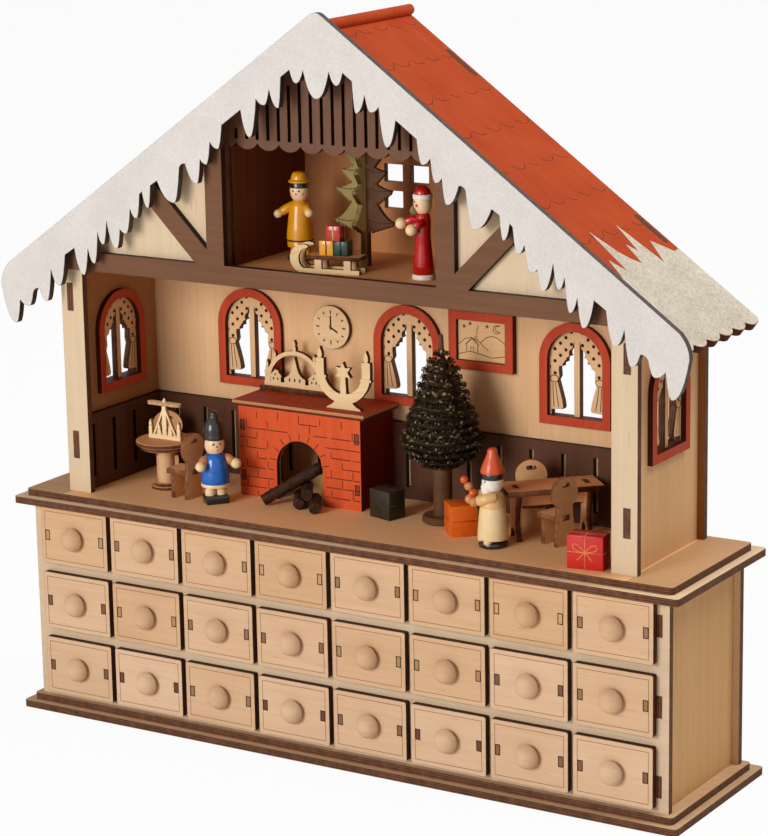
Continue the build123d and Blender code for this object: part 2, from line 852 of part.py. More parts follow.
# Rounded cap along the ridge, grooved to sit on both panels
with BuildPart() as ridge_cap:
    with BuildSketch(upright(roof_rear)):
        with Locations((0, ridge_top + ridge_cap_lift)):
            Circle(ridge_cap_radius)
        Polygon(
            (0, ridge_top),
            (2 * ridge_cap_radius, ridge_top - 2 * ridge_cap_radius * roof_slope),
            (-2 * ridge_cap_radius, ridge_top - 2 * ridge_cap_radius * roof_slope),
            align=None,
            mode=Mode.SUBTRACT,
        )
    extrude(amount=roof_depth)
write(ridge_cap, "ridge_cap")

# Snow board in front of the roof, with icicles along its lower edge
fascia_apex = ridge_top + fascia_rise
apex_run = fascia_apex_radius * sin(radians(roof_angle))
apex_shoulder = fascia_apex - apex_run * roof_slope
apex_top = fascia_apex - fascia_apex_radius * (hypot(1, roof_slope) - 1)


def icicle_point(share):
    x = share[0] * fascia_half_width
    return (x, fascia_apex - x * roof_slope - share[1] * icicle_depth)


def flank(notch, tip):
    """One side of an icicle: steep at the notch, round at the tip."""
    run, fall = tip[0] - notch[0], tip[1] - notch[1]
    shoulder = (notch[0] + flank_lean_share * run, notch[1] + flank_fall_share * fall)
    belly = (tip[0] - flank_belly_share * run, tip[1])
    return Bezier(notch, shoulder, belly, tip)


with BuildPart() as snow_fascia:
    with BuildSketch(upright(roof_front)):
        with BuildLine() as fascia_outline:
            groups = [[icicle_point(share) for share in group] for group in icicle_group_shares]
            tips_first = True
            for group in groups:
                for i, (start, end) in enumerate(zip(group, group[1:])):
                    starts_at_tip = (i % 2 == 0) == tips_first
                    if starts_at_tip:
                        flank(end, start)
                    else:
                        flank(start, end)
                tips_first = False
            for i, (group, following) in enumerate(zip(groups, groups[1:])):
                start, end = group[-1], following[0]
                if i in round_valley_groups:
                    crown = ((start[0] + end[0]) / 2, (start[1] + end[1]) / 2 + round_valley_rise)
                    ThreePointArc(start, crown, end)
                else:
                    Line(start, end)
            bulge = icicle_point((eave_bulge_share, eave_bulge_drop_share))
            corner = icicle_point((1.0, 0.0))
            flank(bulge, groups[-1][-1])
            Bezier(bulge, (bulge[0], (bulge[1] + corner[1]) / 2), corner)
            Line(corner, (apex_run, apex_shoulder))
            mirror(fascia_outline.edges(), about=Plane.YZ)
            ThreePointArc((apex_run, apex_shoulder), (0, apex_top), (-apex_run, apex_shoulder))
        make_face()
    extrude(amount=board)
write(snow_fascia, "snow_fascia")


def wainscot_board(length):
    """A low panel with upright slots, about the middle of its foot."""
    with BuildSketch() as panel:
        with Locations((0, wainscot_height / 2)):
            Rectangle(length, wainscot_height)
        slots = int((length / 2 - wainscot_slot_width) / wainscot_slot_pitch)
        offset = 0 if length > house_depth else wainscot_slot_pitch / 2
        places = [i * wainscot_slot_pitch - offset for i in range(-slots, slots + 1)]
        places = [x for x in places if abs(x) < length / 2 - wainscot_slot_width]
        with Locations([(x, wainscot_slot_rise + wainscot_slot_length / 2) for x in places]):
            Rectangle(wainscot_slot_width, wainscot_slot_length, mode=Mode.SUBTRACT)
    return panel.sketch


def wainscot_side(side):
    with BuildPart() as panel:
        with BuildSketch(sideways(side * (wall_inner - thin_board / 2) - thin_board / 2)):
            with Locations(((gable_back + wainscot_front) / 2, house_floor)):
                add(wainscot_board(wainscot_front - gable_back))
        extrude(amount=thin_board)
    return panel.part


with BuildPart() as wainscot_back:
    with BuildSketch(upright(wall_front)):
        with Locations((0, house_floor)):
            add(wainscot_board(2 * wall_inner))
    extrude(amount=thin_board)
write_group([wainscot_back.part, wainscot_side(-1), wainscot_side(1)], "wainscot")


# Arched red frames: inside on the back wall, on both faces of the side walls
def back_window_frame(x):
    with BuildPart() as frame:
        with BuildSketch(upright(wall_front)):
            with Locations((x, window_sill)):
                add(window_frame.sketch)
        extrude(amount=thin_board)
    return frame.part


def side_window_frame(inner_x):
    with BuildPart() as frame:
        with BuildSketch(sideways(inner_x)):
            with Locations((room_middle, window_sill)):
                add(window_frame.sketch)
        extrude(amount=thin_board)
    return frame.part


side_frame_places = [wall_outer, wall_inner - thin_board, -wall_inner, -wall_outer - thin_board]
write_group(
    [back_window_frame(x) for x in window_spots] + [side_window_frame(x) for x in side_frame_places],
    "window_frames",
)

with BuildPart() as clock:
    with BuildSketch(upright(wall_front)):
        with Locations((clock_x, house_floor + clock_rise)):
            Circle(clock_radius)
    extrude(amount=thin_board)
write(clock, "clock")

picture_place = (picture_x, house_floor + picture_rise)
picture_opening = (picture_width - 2 * picture_band, picture_height - 2 * picture_band)
with BuildPart() as picture_frame:
    with BuildSketch(upright(wall_front)):
        with Locations(picture_place):
            Rectangle(picture_width, picture_height)
            Rectangle(*picture_opening, mode=Mode.SUBTRACT)
    extrude(amount=board)
with BuildPart() as picture_sheet:
    with BuildSketch(upright(wall_front)):
        with Locations(picture_place):
            Rectangle(picture_opening[0] - 2 * fit_gap, picture_opening[1] - 2 * fit_gap)
    extrude(amount=picture_panel)
write_group([picture_frame.part, picture_sheet.part], "picture")

# Fireplace against the wainscot: front with an arch, two sides with tabs, and a mantel
hearth_front = wainscot_front - hearth_depth
hearth_side_middle = hearth_width / 2 - hearth_side_inset - thin_board / 2
hearth_tab_levels = [house_floor + hearth_tab_low, house_floor + hearth_tab_high]
mantel_top = house_floor + hearth_height + thin_board
with BuildPart() as hearth_face:
    with BuildSketch(upright(hearth_front + board)):
        with Locations((hearth_x, house_floor + hearth_height / 2)):
            Rectangle(hearth_width, hearth_height)
        with Locations((hearth_x, house_floor)):
            add(arch(arch_width, arch_height), mode=Mode.SUBTRACT)
        with Locations([(hearth_x + s * hearth_side_middle, z) for s in (-1, 1) for z in hearth_tab_levels]):
            Rectangle(thin_board + 2 * fit_gap, hearth_tab_height + 2 * fit_gap, mode=Mode.SUBTRACT)
    extrude(amount=board)


def hearth_side(side):
    with BuildPart() as panel:
        with BuildSketch(sideways(hearth_x + side * hearth_side_middle - thin_board / 2)):
            with Locations(((hearth_front + board + wainscot_front) / 2, house_floor + hearth_height / 2)):
                Rectangle(wainscot_front - hearth_front - board, hearth_height)
            with Locations([((hearth_front + wainscot_front) / 2, z) for z in hearth_tab_levels]):
                Rectangle(wainscot_front - hearth_front, hearth_tab_height)
        extrude(amount=thin_board)
    return panel.part


with BuildPart() as mantel:
    with BuildSketch(Plane.XY.offset(mantel_top - thin_board)):
        with Locations((hearth_x, (hearth_front - mantel_front_overhang + wainscot_front) / 2)):
            mantel_depth = wainscot_front - hearth_front + mantel_front_overhang
            Rectangle(hearth_width + 2 * mantel_overhang, mantel_depth)
    extrude(amount=thin_board)
write_group([hearth_face.part, hearth_side(-1), hearth_side(1), mantel.part], "fireplace")


# Firewood in the arch: two logs on the floor, one on them and one that leans on the pile
def log(start, direction, length):
    axis = Vector(direction).normalized()
    plane = Plane(origin=start, z_dir=axis)
    with BuildPart() as stick:
        with BuildSketch(plane):
            RegularPolygon(log_radius, log_facets)
        extrude(amount=length)
    return stick.part


log_contact = 2 * log_radius + fit_gap
log_x, log_y = -sin(radians(log_turn)), cos(radians(log_turn))
left_log = (left_log_spot[0], front_plane + left_log_spot[1], house_floor + log_radius)
right_log = (right_log_spot[0], front_plane + right_log_spot[1], house_floor + log_radius)
log_spread = (right_log[0] - left_log[0]) * log_y - (right_log[1] - left_log[1]) * log_x
top_log_rise = sqrt(log_contact**2 - (log_spread / 2) ** 2)
top_log = (
    (left_log[0] + right_log[0]) / 2 + top_log_shift * log_x,
    (left_log[1] + right_log[1]) / 2 + top_log_shift * log_y,
    left_log[2] + top_log_rise,
)

# The slope at which the leaning log just touches the top log
lean_x, lean_y = cos(radians(leaning_log_turn)), sin(radians(leaning_log_turn))
lean_foot = (
    leaning_log_spot[0],
    front_plane + leaning_log_spot[1],
    house_floor + leaning_log_foot_share * log_radius,
)
lean_cross = lean_x * log_y - lean_y * log_x
lean_away = (top_log[0] - lean_foot[0]) * log_y - (top_log[1] - lean_foot[1]) * log_x
lean_lift = (top_log[2] - lean_foot[2]) * lean_cross
lean_room = lean_away**2 - log_contact**2
lean_root = sqrt(lean_cross**2 * lean_room + lean_lift**2)
lean_slope = (lean_away * lean_lift + log_contact * lean_root) / lean_room
write_group(
    [
        log(left_log, (log_x, log_y, 0), log_length),
        log(right_log, (log_x, log_y, 0), log_length),
        log(top_log, (log_x, log_y, 0), log_length),
        log(lean_foot, (lean_x, lean_y, lean_slope), leaning_log_run * hypot(1, lean_slope)),
    ],
    "firewood",
)

# Candle arch: base strip, arch, village and candles cut from one thin board
arch_spring = candle_base_height
with BuildSketch() as candle_arch_outline:
    with Locations((0, candle_base_height / 2)):
        Rectangle(candle_base_length, candle_base_height)
    with Locations((0, arch_spring)):
        Ellipse(candle_arch_half_width, candle_arch_rise)
        Ellipse(
            candle_arch_half_width - candle_arch_band, candle_arch_rise - candle_arch_band, mode=Mode.SUBTRACT
        )
    with Locations((0, -candle_arch_rise / 2)):
        Rectangle(2 * candle_base_length, candle_arch_rise, mode=Mode.SUBTRACT)
    Polygon(
        *[(u * candle_arch_half_width, arch_spring + v * candle_arch_rise) for u, v in village_shares],
        align=None,
    )
    with Locations((0, candle_base_height / 2)):
        Rectangle(candle_base_length, candle_base_height)
    for u in candle_spread_shares:
        candle_foot = arch_spring + (candle_arch_rise - candle_arch_band / 2) * sqrt(1 - u * u)
        candle_x = u * (candle_arch_half_width - candle_arch_band / 2)
        with Locations((candle_x, candle_foot + candle_height / 2)):
            Rectangle(candle_width, candle_height)
    for end_x in (end_candle_shift - candle_base_length / 2, candle_base_length / 2 - end_candle_shift):
        with Locations((end_x, end_candle_rise / 2)):
            Rectangle(2 * end_candle_shift, end_candle_rise)
        with Locations((end_x, end_candle_rise + candle_height / 2)):
            Rectangle(candle_width, candle_height)
with BuildPart() as candle_arch:
    with BuildSketch(upright(hearth_front + candle_arch_setback)):
        with Locations((candle_arch_x, mantel_top + plank_thickness)):
            add(candle_arch_outline.sketch)
    extrude(amount=thin_board)
with BuildPart() as candle_plank:
    with BuildSketch(Plane.XY.offset(mantel_top)):
        with Locations((plank_x, hearth_front + candle_arch_setback - thin_board / 2)):
            Rectangle(plank_length, plank_depth)
    extrude(amount=plank_thickness)

# Crescent holder: foot, half ring with two candles, and a star on a post
ring_middle = crescent_foot_height + crescent_radius - crescent_band / 2
ring_mean = crescent_radius - crescent_band / 2
with BuildSketch() as crescent_outline:
    with Locations((0, ring_middle)):
        Circle(crescent_radius)
        Circle(crescent_radius - crescent_band, mode=Mode.SUBTRACT)
    with Locations((0, ring_middle + crescent_radius)):
        Rectangle(2 * crescent_radius, 2 * crescent_radius, mode=Mode.SUBTRACT)
    with Locations([(side * ring_mean, ring_middle + crescent_arm_rise / 2) for side in (-1, 1)]):
        Rectangle(crescent_band, crescent_arm_rise)
    arm_candle = ring_middle + crescent_arm_rise + candle_height / 2
    with Locations((-ring_mean, arm_candle), (ring_mean, arm_candle)):
        Rectangle(candle_width, candle_height)
    Polygon(
        (-crescent_foot_width / 2, 0),
        (crescent_foot_width / 2, 0),
        (crescent_foot_width / 4, crescent_foot_height),
        (-crescent_foot_width / 4, crescent_foot_height),
        align=None,
    )
    with Locations((0, (crescent_foot_height + ring_middle) / 2)):
        Rectangle(star_post_width, ring_middle - crescent_foot_height)
    star_turns = [radians(90 + i * 180 / star_points) for i in range(2 * star_points)]
    star_reach = [star_radius, star_radius * star_inner_share] * star_points
    Polygon(*[(r * cos(a), ring_middle + r * sin(a)) for r, a in zip(star_reach, star_turns)], align=None)
with BuildPart() as crescent_holder:
    with BuildSketch(upright(hearth_front + crescent_setback)):
        with Locations((crescent_x, mantel_top)):
            add(crescent_outline.sketch)
    extrude(amount=thin_board)
write_group([candle_arch.part, candle_plank.part, crescent_holder.part], "mantel_candles")


def turned(points):
    """A solid turned about Z from an outline of radius and height."""
    first, last = points[0], points[-1]
    closed = [(0, first[1])] + list(points) + ([(0, last[1])] if last[0] > 0 else [])
    with BuildPart() as piece:
        with BuildSketch(Plane.XZ):
            Polygon(*closed, align=None)
        revolve(axis=Axis.Z)
    return piece.part


# Spiral tree of wood shavings: foot, trunk and foliage in overhanging tiers
tree_place = room_spot(tree_x, tree_setback, house_floor)
tier_pitch = foliage_height / len(tier_radius_shares)
foliage_bottom = tree_foot_height + trunk_height
tiers = []
for i, share in enumerate(tier_radius_shares):
    tier_radius = foliage_radius * share
    tier_level = foliage_bottom + i * tier_pitch
    tiers.append((tier_radius * tier_waist_share, tier_level))
    tiers.append((tier_radius, tier_level + tier_low_share * tier_pitch))
    tiers.append((tier_radius, tier_level + tier_high_share * tier_pitch))
tiers.append((0, foliage_bottom + foliage_height))
spiral_tree = [
    turned([(tree_foot_radius, 0), (tree_foot_radius, tree_foot_height)]),
    turned([(trunk_radius, tree_foot_height), (trunk_radius, foliage_bottom)]),
    turned(tiers),
]
write_group([piece.moved(tree_place) for piece in spiral_tree], "spiral_tree")


# Round pedestal table and the long table with tabbed legs
top_bottom = round_table_height - round_top_thickness
round_table = [
    turned(
        [
            (round_foot_radius, 0),
            (round_foot_radius, round_foot_height / 2),
            (round_foot_radius - round_foot_height / 2, round_foot_height / 2),
            (round_foot_radius - round_foot_height / 2, round_foot_height),
        ]
    ),
    turned([(column_radius, round_foot_height), (column_radius, top_bottom)]),
    turned(
        [
            (round_top_radius - round_top_thickness / 2, top_bottom),
            (round_top_radius - round_top_thickness / 2, top_bottom + round_top_thickness / 2),
            (round_top_radius, top_bottom + round_top_thickness / 2),
            (round_top_radius, round_table_height),
        ]
    ),
]

table_sine, table_cosine = sin(radians(table_turn)), cos(radians(table_turn))
table_reach = (long_table_length * abs(table_sine) + long_table_width * abs(table_cosine)) / 2
long_table_setback = wainscot_front - long_table_wall_gap - table_reach - front_plane
leg_place = long_table_length / 2 - table_leg_inset
leg_height = long_table_height - thin_board
with BuildPart() as table_top:
    with BuildSketch(Plane.XY.offset(leg_height)):
        Rectangle(long_table_length, long_table_width)
        with Locations((-leg_place, 0), (leg_place, 0)):
            Rectangle(thin_board + 2 * fit_gap, table_tab_length + 2 * fit_gap, mode=Mode.SUBTRACT)
    extrude(amount=thin_board)


def table_leg(x):
    foot = long_table_width / 2 - thin_board
    with BuildPart() as leg:
        with BuildSketch(sideways(x - thin_board / 2)):
            with BuildLine():
                Line((-foot, 0), (foot, 0))
                ThreePointArc((foot, 0), (table_leg_waist / 2, leg_height / 2), (foot, leg_height))
                Line((foot, leg_height), (-foot, leg_height))
                ThreePointArc((-foot, leg_height), (-table_leg_waist / 2, leg_height / 2), (-foot, 0))
            make_face()
            with Locations((0, long_table_height / 2)):
                Rectangle(table_tab_length, long_table_height)
        extrude(amount=thin_board)
    return leg.part


with BuildPart() as apron:
    with BuildSketch(upright(thin_board / 2)):
        with Locations((0, leg_height - table_apron_height / 2)):
            Rectangle(2 * leg_place - thin_board, table_apron_height)
    extrude(amount=thin_board)
long_table = [table_top.part, apron.part, table_leg(-leg_place), table_leg(leg_place)]
round_table_place = room_spot(round_table_x, round_table_setback, house_floor)
long_table_place = room_spot(long_table_x, long_table_setback, house_floor, table_turn)
write_group(
    [piece.moved(round_table_place) for piece in round_table]
    + [piece.moved(long_table_place) for piece in long_table],
    "tables",
)


# Small pyramid on the round table: a frame with candles and firs, a rotor and a spike
with BuildPart() as pyramid_frame:
    with BuildSketch(upright(pyramid_board / 2)):
        with Locations((0, pyramid_base_height / 2)):
            Rectangle(pyramid_width, pyramid_base_height)
        with Locations((0, pyramid_height / 2)):
            Rectangle(pyramid_stile, pyramid_height)
        candle_place = (pyramid_width - pyramid_candle_width) / 2
        with Locations([(side * candle_place, pyramid_candle_height / 2) for side in (-1, 1)]):
            Rectangle(pyramid_candle_width, pyramid_candle_height)
        for side in (-1, 1):
            bar_foot = side * (pyramid_width / 2 - pyramid_foot_inset)
            Polygon(
                (bar_foot, pyramid_base_height / 2),
                (bar_foot - side * pyramid_stile, pyramid_base_height / 2),
                (0, pyramid_height - 2 * pyramid_stile),
                (0, pyramid_height),
                align=None,
            )
            Polygon(
                (side * (pyramid_fir_x - pyramid_fir_width / 2), pyramid_base_height),
                (side * (pyramid_fir_x + pyramid_fir_width / 2), pyramid_base_height),
                (side * pyramid_fir_x, pyramid_fir_height),
                align=None,
            )
    extrude(amount=pyramid_board)
with BuildPart() as rotor:
    with BuildSketch(Plane.XY.offset(pyramid_height)):
        SlotOverall(rotor_length, rotor_width)
    extrude(amount=rotor_thickness)
spike_foot = pyramid_height + rotor_thickness
rotor_spike = turned([(rotor_spike_radius, spike_foot), (0, spike_foot + rotor_spike_height)])
pyramid_place = room_spot(round_table_x, round_table_setback, house_floor + round_table_height)
pyramid_pieces = [pyramid_frame.part, rotor.part, rotor_spike]
write_group([piece.moved(pyramid_place) for piece in pyramid_pieces], "table_pyramid")

# Chair about the foot of its back, with the seat towards +Y
with BuildPart() as chair_back:
    with BuildSketch(upright(0)):
        head_radius = chair_width / 2
        head_level = chair_height - head_radius
        with Locations((0, head_level)):
            Circle(head_radius)
        Polygon(
            (-chair_leg_width / 2, 0),
            (chair_leg_width / 2, 0),
            (chair_waist / 2, chair_waist_rise),
            (-chair_waist / 2, chair_waist_rise),
            align=None,
        )
        with Locations((0, head_level + head_radius / 2)):
            SlotOverall(chair_grip_width, chair_grip_height, mode=Mode.SUBTRACT)
        with Locations((0, chair_seat_rise - thin_board / 2)):
            Rectangle(chair_tab_length + 2 * fit_gap, thin_board + 2 * fit_gap, mode=Mode.SUBTRACT)
    extrude(amount=thin_board)
with BuildPart() as chair_seat:
    with BuildSketch(Plane.XY.offset(chair_seat_rise - thin_board)):
        with Locations((0, chair_seat_depth / 2)):
            Rectangle(chair_leg_width, chair_seat_depth)
        with Locations((0, -thin_board / 2)):
            Rectangle(chair_tab_length, thin_board)
    extrude(amount=thin_board)
with BuildPart() as chair_leg:
    with BuildSketch(upright(chair_seat_depth - chair_leg_inset)):
        with Locations((0, (chair_seat_rise - thin_board) / 2)):
            Rectangle(chair_leg_width, chair_seat_rise - thin_board)
    extrude(amount=thin_board)
chair = [chair_back.part, chair_seat.part, chair_leg.part]
across = long_table_width / 2 + chair_table_gap


def table_chair(side, along, twist):
    """A chair on one side of the long table, moved along it and turned a little."""
    x = long_table_x - side * table_sine * across + table_cosine * along
    setback = long_table_setback + side * table_cosine * across + table_sine * along
    return room_spot(x, setback, house_floor, table_turn + 90 * (1 + side) + twist)


chair_places = [
    room_spot(round_chair_x, round_chair_setback, house_floor, round_chair_turn),
    room_spot(wall_chair_x, wall_chair_setback, house_floor, wall_chair_turn),
    table_chair(-1, near_chair_along, near_chair_twist),
    table_chair(1, far_chair_along, far_chair_twist),
]
write_group([piece.moved(place) for place in chair_places for piece in chair], "chairs")


def present(size, spot, turn):
    """A wrapped box with softened edges."""
    with BuildPart() as box:
        with BuildSketch():
            Rectangle(size[0], size[1])
        extrude(amount=size[2])
        chamfer(box.edges().filter_by(Axis.Z), present_edge)
    return box.part.moved(room_spot(*spot, house_floor, turn))


write_group(
    [
        present(green_present, green_present_spot, green_present_turn),
        present(orange_present, orange_present_spot, orange_present_turn),
        present(red_present, red_present_spot, red_present_turn),
    ],
    "presents",
)


# Turned figures: body and head in one, a hat, two arms, and legs on shoes or a foot disc
def scaled(shares, height):
    return [(u * height, v * height) for u, v in shares]


def figure(height, coat_shares, hat_shares, arm_shares):
    coat = scaled(coat_shares, height)
    body = turned(coat)
    pieces = [body, turned(scaled(hat_shares, height))]
    shoulder, hand = scaled(arm_shares, height)
    for side in (-1, 1):
        start = Vector(side * shoulder[0], 0, shoulder[1])
        end = Vector(side * hand[0], -hand[0] / 2, hand[1])
        with BuildPart() as arm:
            with BuildSketch(Plane(origin=start, z_dir=end - start)):
                Circle(arm_radius_share * height)
            extrude(amount=(end - start).length)
            with Locations(end):
                Sphere(hand_radius_share * height)
            add(body, mode=Mode.SUBTRACT)
        pieces.append(arm.part.solids().sort_by(SortBy.VOLUME)[-1])
    coat_bottom = coat[0][1]
    shoe_height = shoe_height_share * height
    if coat_bottom > 2 * shoe_height:
        with BuildPart() as shoes:
            with BuildSketch():
                SlotOverall(shoe_width_share * height, shoe_depth_share * height)
            extrude(amount=shoe_height)
        pieces.append(shoes.part)
        leg = turned([(leg_radius_share * height, shoe_height), (leg_radius_share * height, coat_bottom)])
        for side in (-1, 1):
            pieces.append(leg.moved(Location((side * leg_spread_share * height, 0, 0))))
    elif coat_bottom > 0:
        pieces.append(turned([(disc_radius_share * height, 0), (disc_radius_share * height, coat_bottom)]))
    return pieces


def write_figure(pieces, place, label):
    write_group([piece.moved(place) for piece in pieces], label)


write_figure(
    figure(blue_figure_height, short_coat_shares, tall_hat_shares, low_arm_shares),
    room_spot(*blue_figure_spot, house_floor, blue_figure_turn),
    "figure_blue_coat",
)
# The cream figure stands before the near end of the long table, to the front of its middle line
beyond_table = long_table_length / 2 + cream_figure_table_gap
cream_figure_x = long_table_x - table_cosine * beyond_table + table_sine * cream_figure_table_side
cream_figure_setback = long_table_setback - table_sine * beyond_table - table_cosine * cream_figure_table_side
write_figure(
    figure(cream_figure_height, long_coat_shares, cone_hat_shares, held_arm_shares),
    room_spot(cream_figure_x, cream_figure_setback, house_floor, cream_figure_turn),
    "figure_cream_coat",
)
write_figure(
    figure(yellow_figure_height, yellow_coat_shares, brim_hat_shares, wide_arm_shares),
    room_spot(*yellow_figure_spot, attic_floor_top, yellow_figure_turn),
    "figure_yellow_coat",
)
write_figure(
    figure(red_figure_height, robe_shares, cap_shares, raised_arm_shares),
    room_spot(*red_figure_spot, attic_floor_top, red_figure_turn),
    "figure_red_coat",
)

# Sled: two curled runners, a deck and three parcels
curl_middle = (-sled_length / 2 + curl_radius, curl_radius)
deck_x = sled_length / 2 - sled_deck_length / 2
with BuildPart() as runner:
    with BuildSketch(upright(runner_board / 2)):
        with Locations(curl_middle):
            Circle(curl_radius)
            with Locations((curl_shift, 0)):
                Circle(curl_inner_radius, mode=Mode.SUBTRACT)
        with Locations(((curl_middle[0] + sled_length / 2) / 2, runner_height / 2)):
            Rectangle(sled_length / 2 - curl_middle[0], runner_height)
        with Locations([(deck_x + side * sled_post_spread / 2, sled_deck_rise / 2) for side in (-1, 1)]):
            Rectangle(sled_post_width, sled_deck_rise)
    extrude(amount=runner_board)
with BuildPart() as sled_deck:
    with BuildSketch(Plane.XY.offset(sled_deck_rise)):
        with Locations((deck_x, 0)):
            Rectangle(sled_deck_length, sled_width)
    extrude(amount=sled_deck_thickness)
with BuildPart() as parcel:
    with BuildSketch(Plane.XY.offset(sled_deck_rise + sled_deck_thickness)):
        Rectangle(parcel_size, parcel_size)
    extrude(amount=parcel_size)
runner_place = (sled_width - runner_board) / 2
parcel_step = parcel_size + slide_gap
sled_place = room_spot(sled_x, sled_setback, attic_floor_top, sled_turn)
sled_pieces = [
    runner.part.moved(Location((0, -runner_place, 0))),
    runner.part.moved(Location((0, runner_place, 0))),
    sled_deck.part,
    parcel.part.moved(Location((deck_x - parcel_step / 2, 0, 0))),
    parcel.part.moved(Location((deck_x + parcel_step / 2, 0, 0))),
    parcel.part.moved(Location((deck_x, 0, parcel_size))),
]
write_group([piece.moved(sled_place) for piece in sled_pieces], "sled")


# Fir of two boards that cross, each slotted to half its height
def fir_board(half_width, slot_from_top):
    root_u, root_v = fir_trunk_width / half_width / 2, fir_skirt_share
    edge = [(fir_trunk_width / 2, 0), (fir_trunk_width / 2, root_v * fir_height)]
    for tip_u, tip_v, next_u, next_v in fir_tier_shares:
        for i in range(1, fir_teeth):
            share = i / fir_teeth
            twig_x = (root_u + (tip_u - root_u) * share) * half_width
            twig_v = root_v + (tip_v - root_v) * share
            edge.append((twig_x, twig_v * fir_height))
            edge.append((twig_x, (twig_v - fir_tooth_share * tip_u) * fir_height))
        swoop = ((tip_u + next_u) / 2 * half_width, (tip_v + fir_swoop_share * (next_v - tip_v)) * fir_height)
        edge += [(tip_u * half_width, tip_v * fir_height), swoop, (next_u * half_width, next_v * fir_height)]
        root_u, root_v = next_u, next_v
    with BuildPart() as tree:
        with BuildSketch(upright(thin_board / 2)):
            with BuildLine():
                right_edge = Polyline((0, 0), *edge)
                mirror(right_edge, about=Plane.YZ)
            make_face()
            lap_middle = fir_height if slot_from_top else 0
            with Locations((0, lap_middle)):
                Rectangle(thin_board + 2 * fit_gap, fir_height, mode=Mode.SUBTRACT)
        extrude(amount=thin_board)
    return tree.part


fir_place = room_spot(fir_x, fir_setback, attic_floor_top)
cross_board = fir_board(fir_cross_share * fir_half_width, False)
fir_pieces = [fir_board(fir_half_width, True), cross_board.moved(Location((0, 0, 0), (0, 0, 90)))]
write_group([piece.moved(fir_place) for piece in fir_pieces], "fir_silhouette")
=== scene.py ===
import bpy
from math import atan, cos, pi, radians, sin, sqrt
from mathutils import Matrix, Vector


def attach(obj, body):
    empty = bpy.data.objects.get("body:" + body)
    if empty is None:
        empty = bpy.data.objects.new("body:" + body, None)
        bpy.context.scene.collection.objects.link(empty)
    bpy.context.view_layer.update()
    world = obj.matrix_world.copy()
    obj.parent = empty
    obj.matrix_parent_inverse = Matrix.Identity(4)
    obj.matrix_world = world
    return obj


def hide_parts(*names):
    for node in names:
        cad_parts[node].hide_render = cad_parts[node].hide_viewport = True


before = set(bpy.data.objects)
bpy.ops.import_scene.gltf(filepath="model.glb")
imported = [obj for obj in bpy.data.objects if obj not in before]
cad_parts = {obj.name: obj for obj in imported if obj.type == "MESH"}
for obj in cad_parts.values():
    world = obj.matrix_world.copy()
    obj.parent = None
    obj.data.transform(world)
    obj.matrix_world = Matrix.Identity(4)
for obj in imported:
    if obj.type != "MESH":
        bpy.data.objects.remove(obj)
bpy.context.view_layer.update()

# Base, plinth, cornice and floor: four stepped plates of birch plywood with rounded corners.
# They are cut by laser, so the cut edges are scorched brown and show the layers of the ply.
# Two lie glued under the chest, and two over it, of which the upper one is the room's floor.
mm = 0.001
ply_layers = 1.36 * mm
grain_depth = 0.3 * mm
house_half = 182.0 * mm


def paint(red, green, blue):
    """A colour of the paint chart as light values."""
    parts = [part / 255 for part in (red, green, blue)]
    return tuple(p / 12.92 if p <= 0.04045 else ((p + 0.055) / 1.055) ** 2.4 for p in parts) + (1.0,)


def put(tree, kind, sockets, **settings):
    """Adds a node with its settings, its fixed values and its links."""
    knot = tree.nodes.new("ShaderNode" + kind)
    for key, value in settings.items():
        setattr(knot, key, value)
    for key, value in sockets.items():
        if isinstance(value, bpy.types.NodeSocket):
            tree.links.new(value, knot.inputs[key])
        else:
            knot.inputs[key].default_value = value
    return knot


def maths(tree, operation, first, second=0.0, third=0.0):
    return put(tree, "Math", {0: first, 1: second, 2: third}, operation=operation).outputs[0]


def over(tree, value, limit):
    """1 where a value is over its limit, and 0 elsewhere."""
    return maths(tree, "GREATER_THAN", value, limit)


def below(tree, value, limit):
    return maths(tree, "LESS_THAN", value, limit)


def size_of(tree, value):
    """A value without its sign."""
    return maths(tree, "ABSOLUTE", value)


def ramp(tree, value, low, high, start=0.0, end=1.0):
    sockets = {"Value": value, "From Min": low, "From Max": high, "To Min": start, "To Max": end}
    return put(tree, "MapRange", sockets).outputs[0]


def mixed(tree, share, first, second):
    return put(tree, "Mix", {0: share, 6: first, 7: second}, data_type="RGBA").outputs[2]


def noise(tree, spot, stretch, detail=3.0, roughness=0.55, warp=0.0):
    drawn = put(tree, "Mapping", {"Vector": spot, "Scale": stretch}).outputs[0]
    sockets = {"Vector": drawn, "Scale": 1.0, "Detail": detail, "Roughness": roughness, "Distortion": warp}
    return put(tree, "TexNoise", sockets).outputs[0]


def evenly(scale):
    """A stretch that is the same along all axes."""
    return (scale, scale, scale)


def axes(tree, arrow):
    return put(tree, "SeparateXYZ", {0: arrow}).outputs


def face_normal(tree):
    """The way that a face looks."""
    return put(tree, "NewGeometry", {}).outputs["Normal"]


def new_finish(name):
    stuff = bpy.data.materials.new(name)
    stuff.use_nodes = True
    tree = stuff.node_tree
    spot = put(tree, "TexCoord", {}).outputs["Object"]
    return stuff, tree, tree.nodes["Principled BSDF"], spot


def along(grain, length, across):
    """Stretch of a pattern: per metre along the grain and across it."""
    return [length if axis == grain else across for axis in "XYZ"]


def two_noises(tree, first, first_top, first_part, second, second_part):
    """A share made of two noises, each with its part in it."""
    fine = ramp(tree, first, 0.3, first_top, 0.0, first_part)
    return maths(tree, "ADD", fine, ramp(tree, second, 0.3, 0.7, 0.0, second_part))


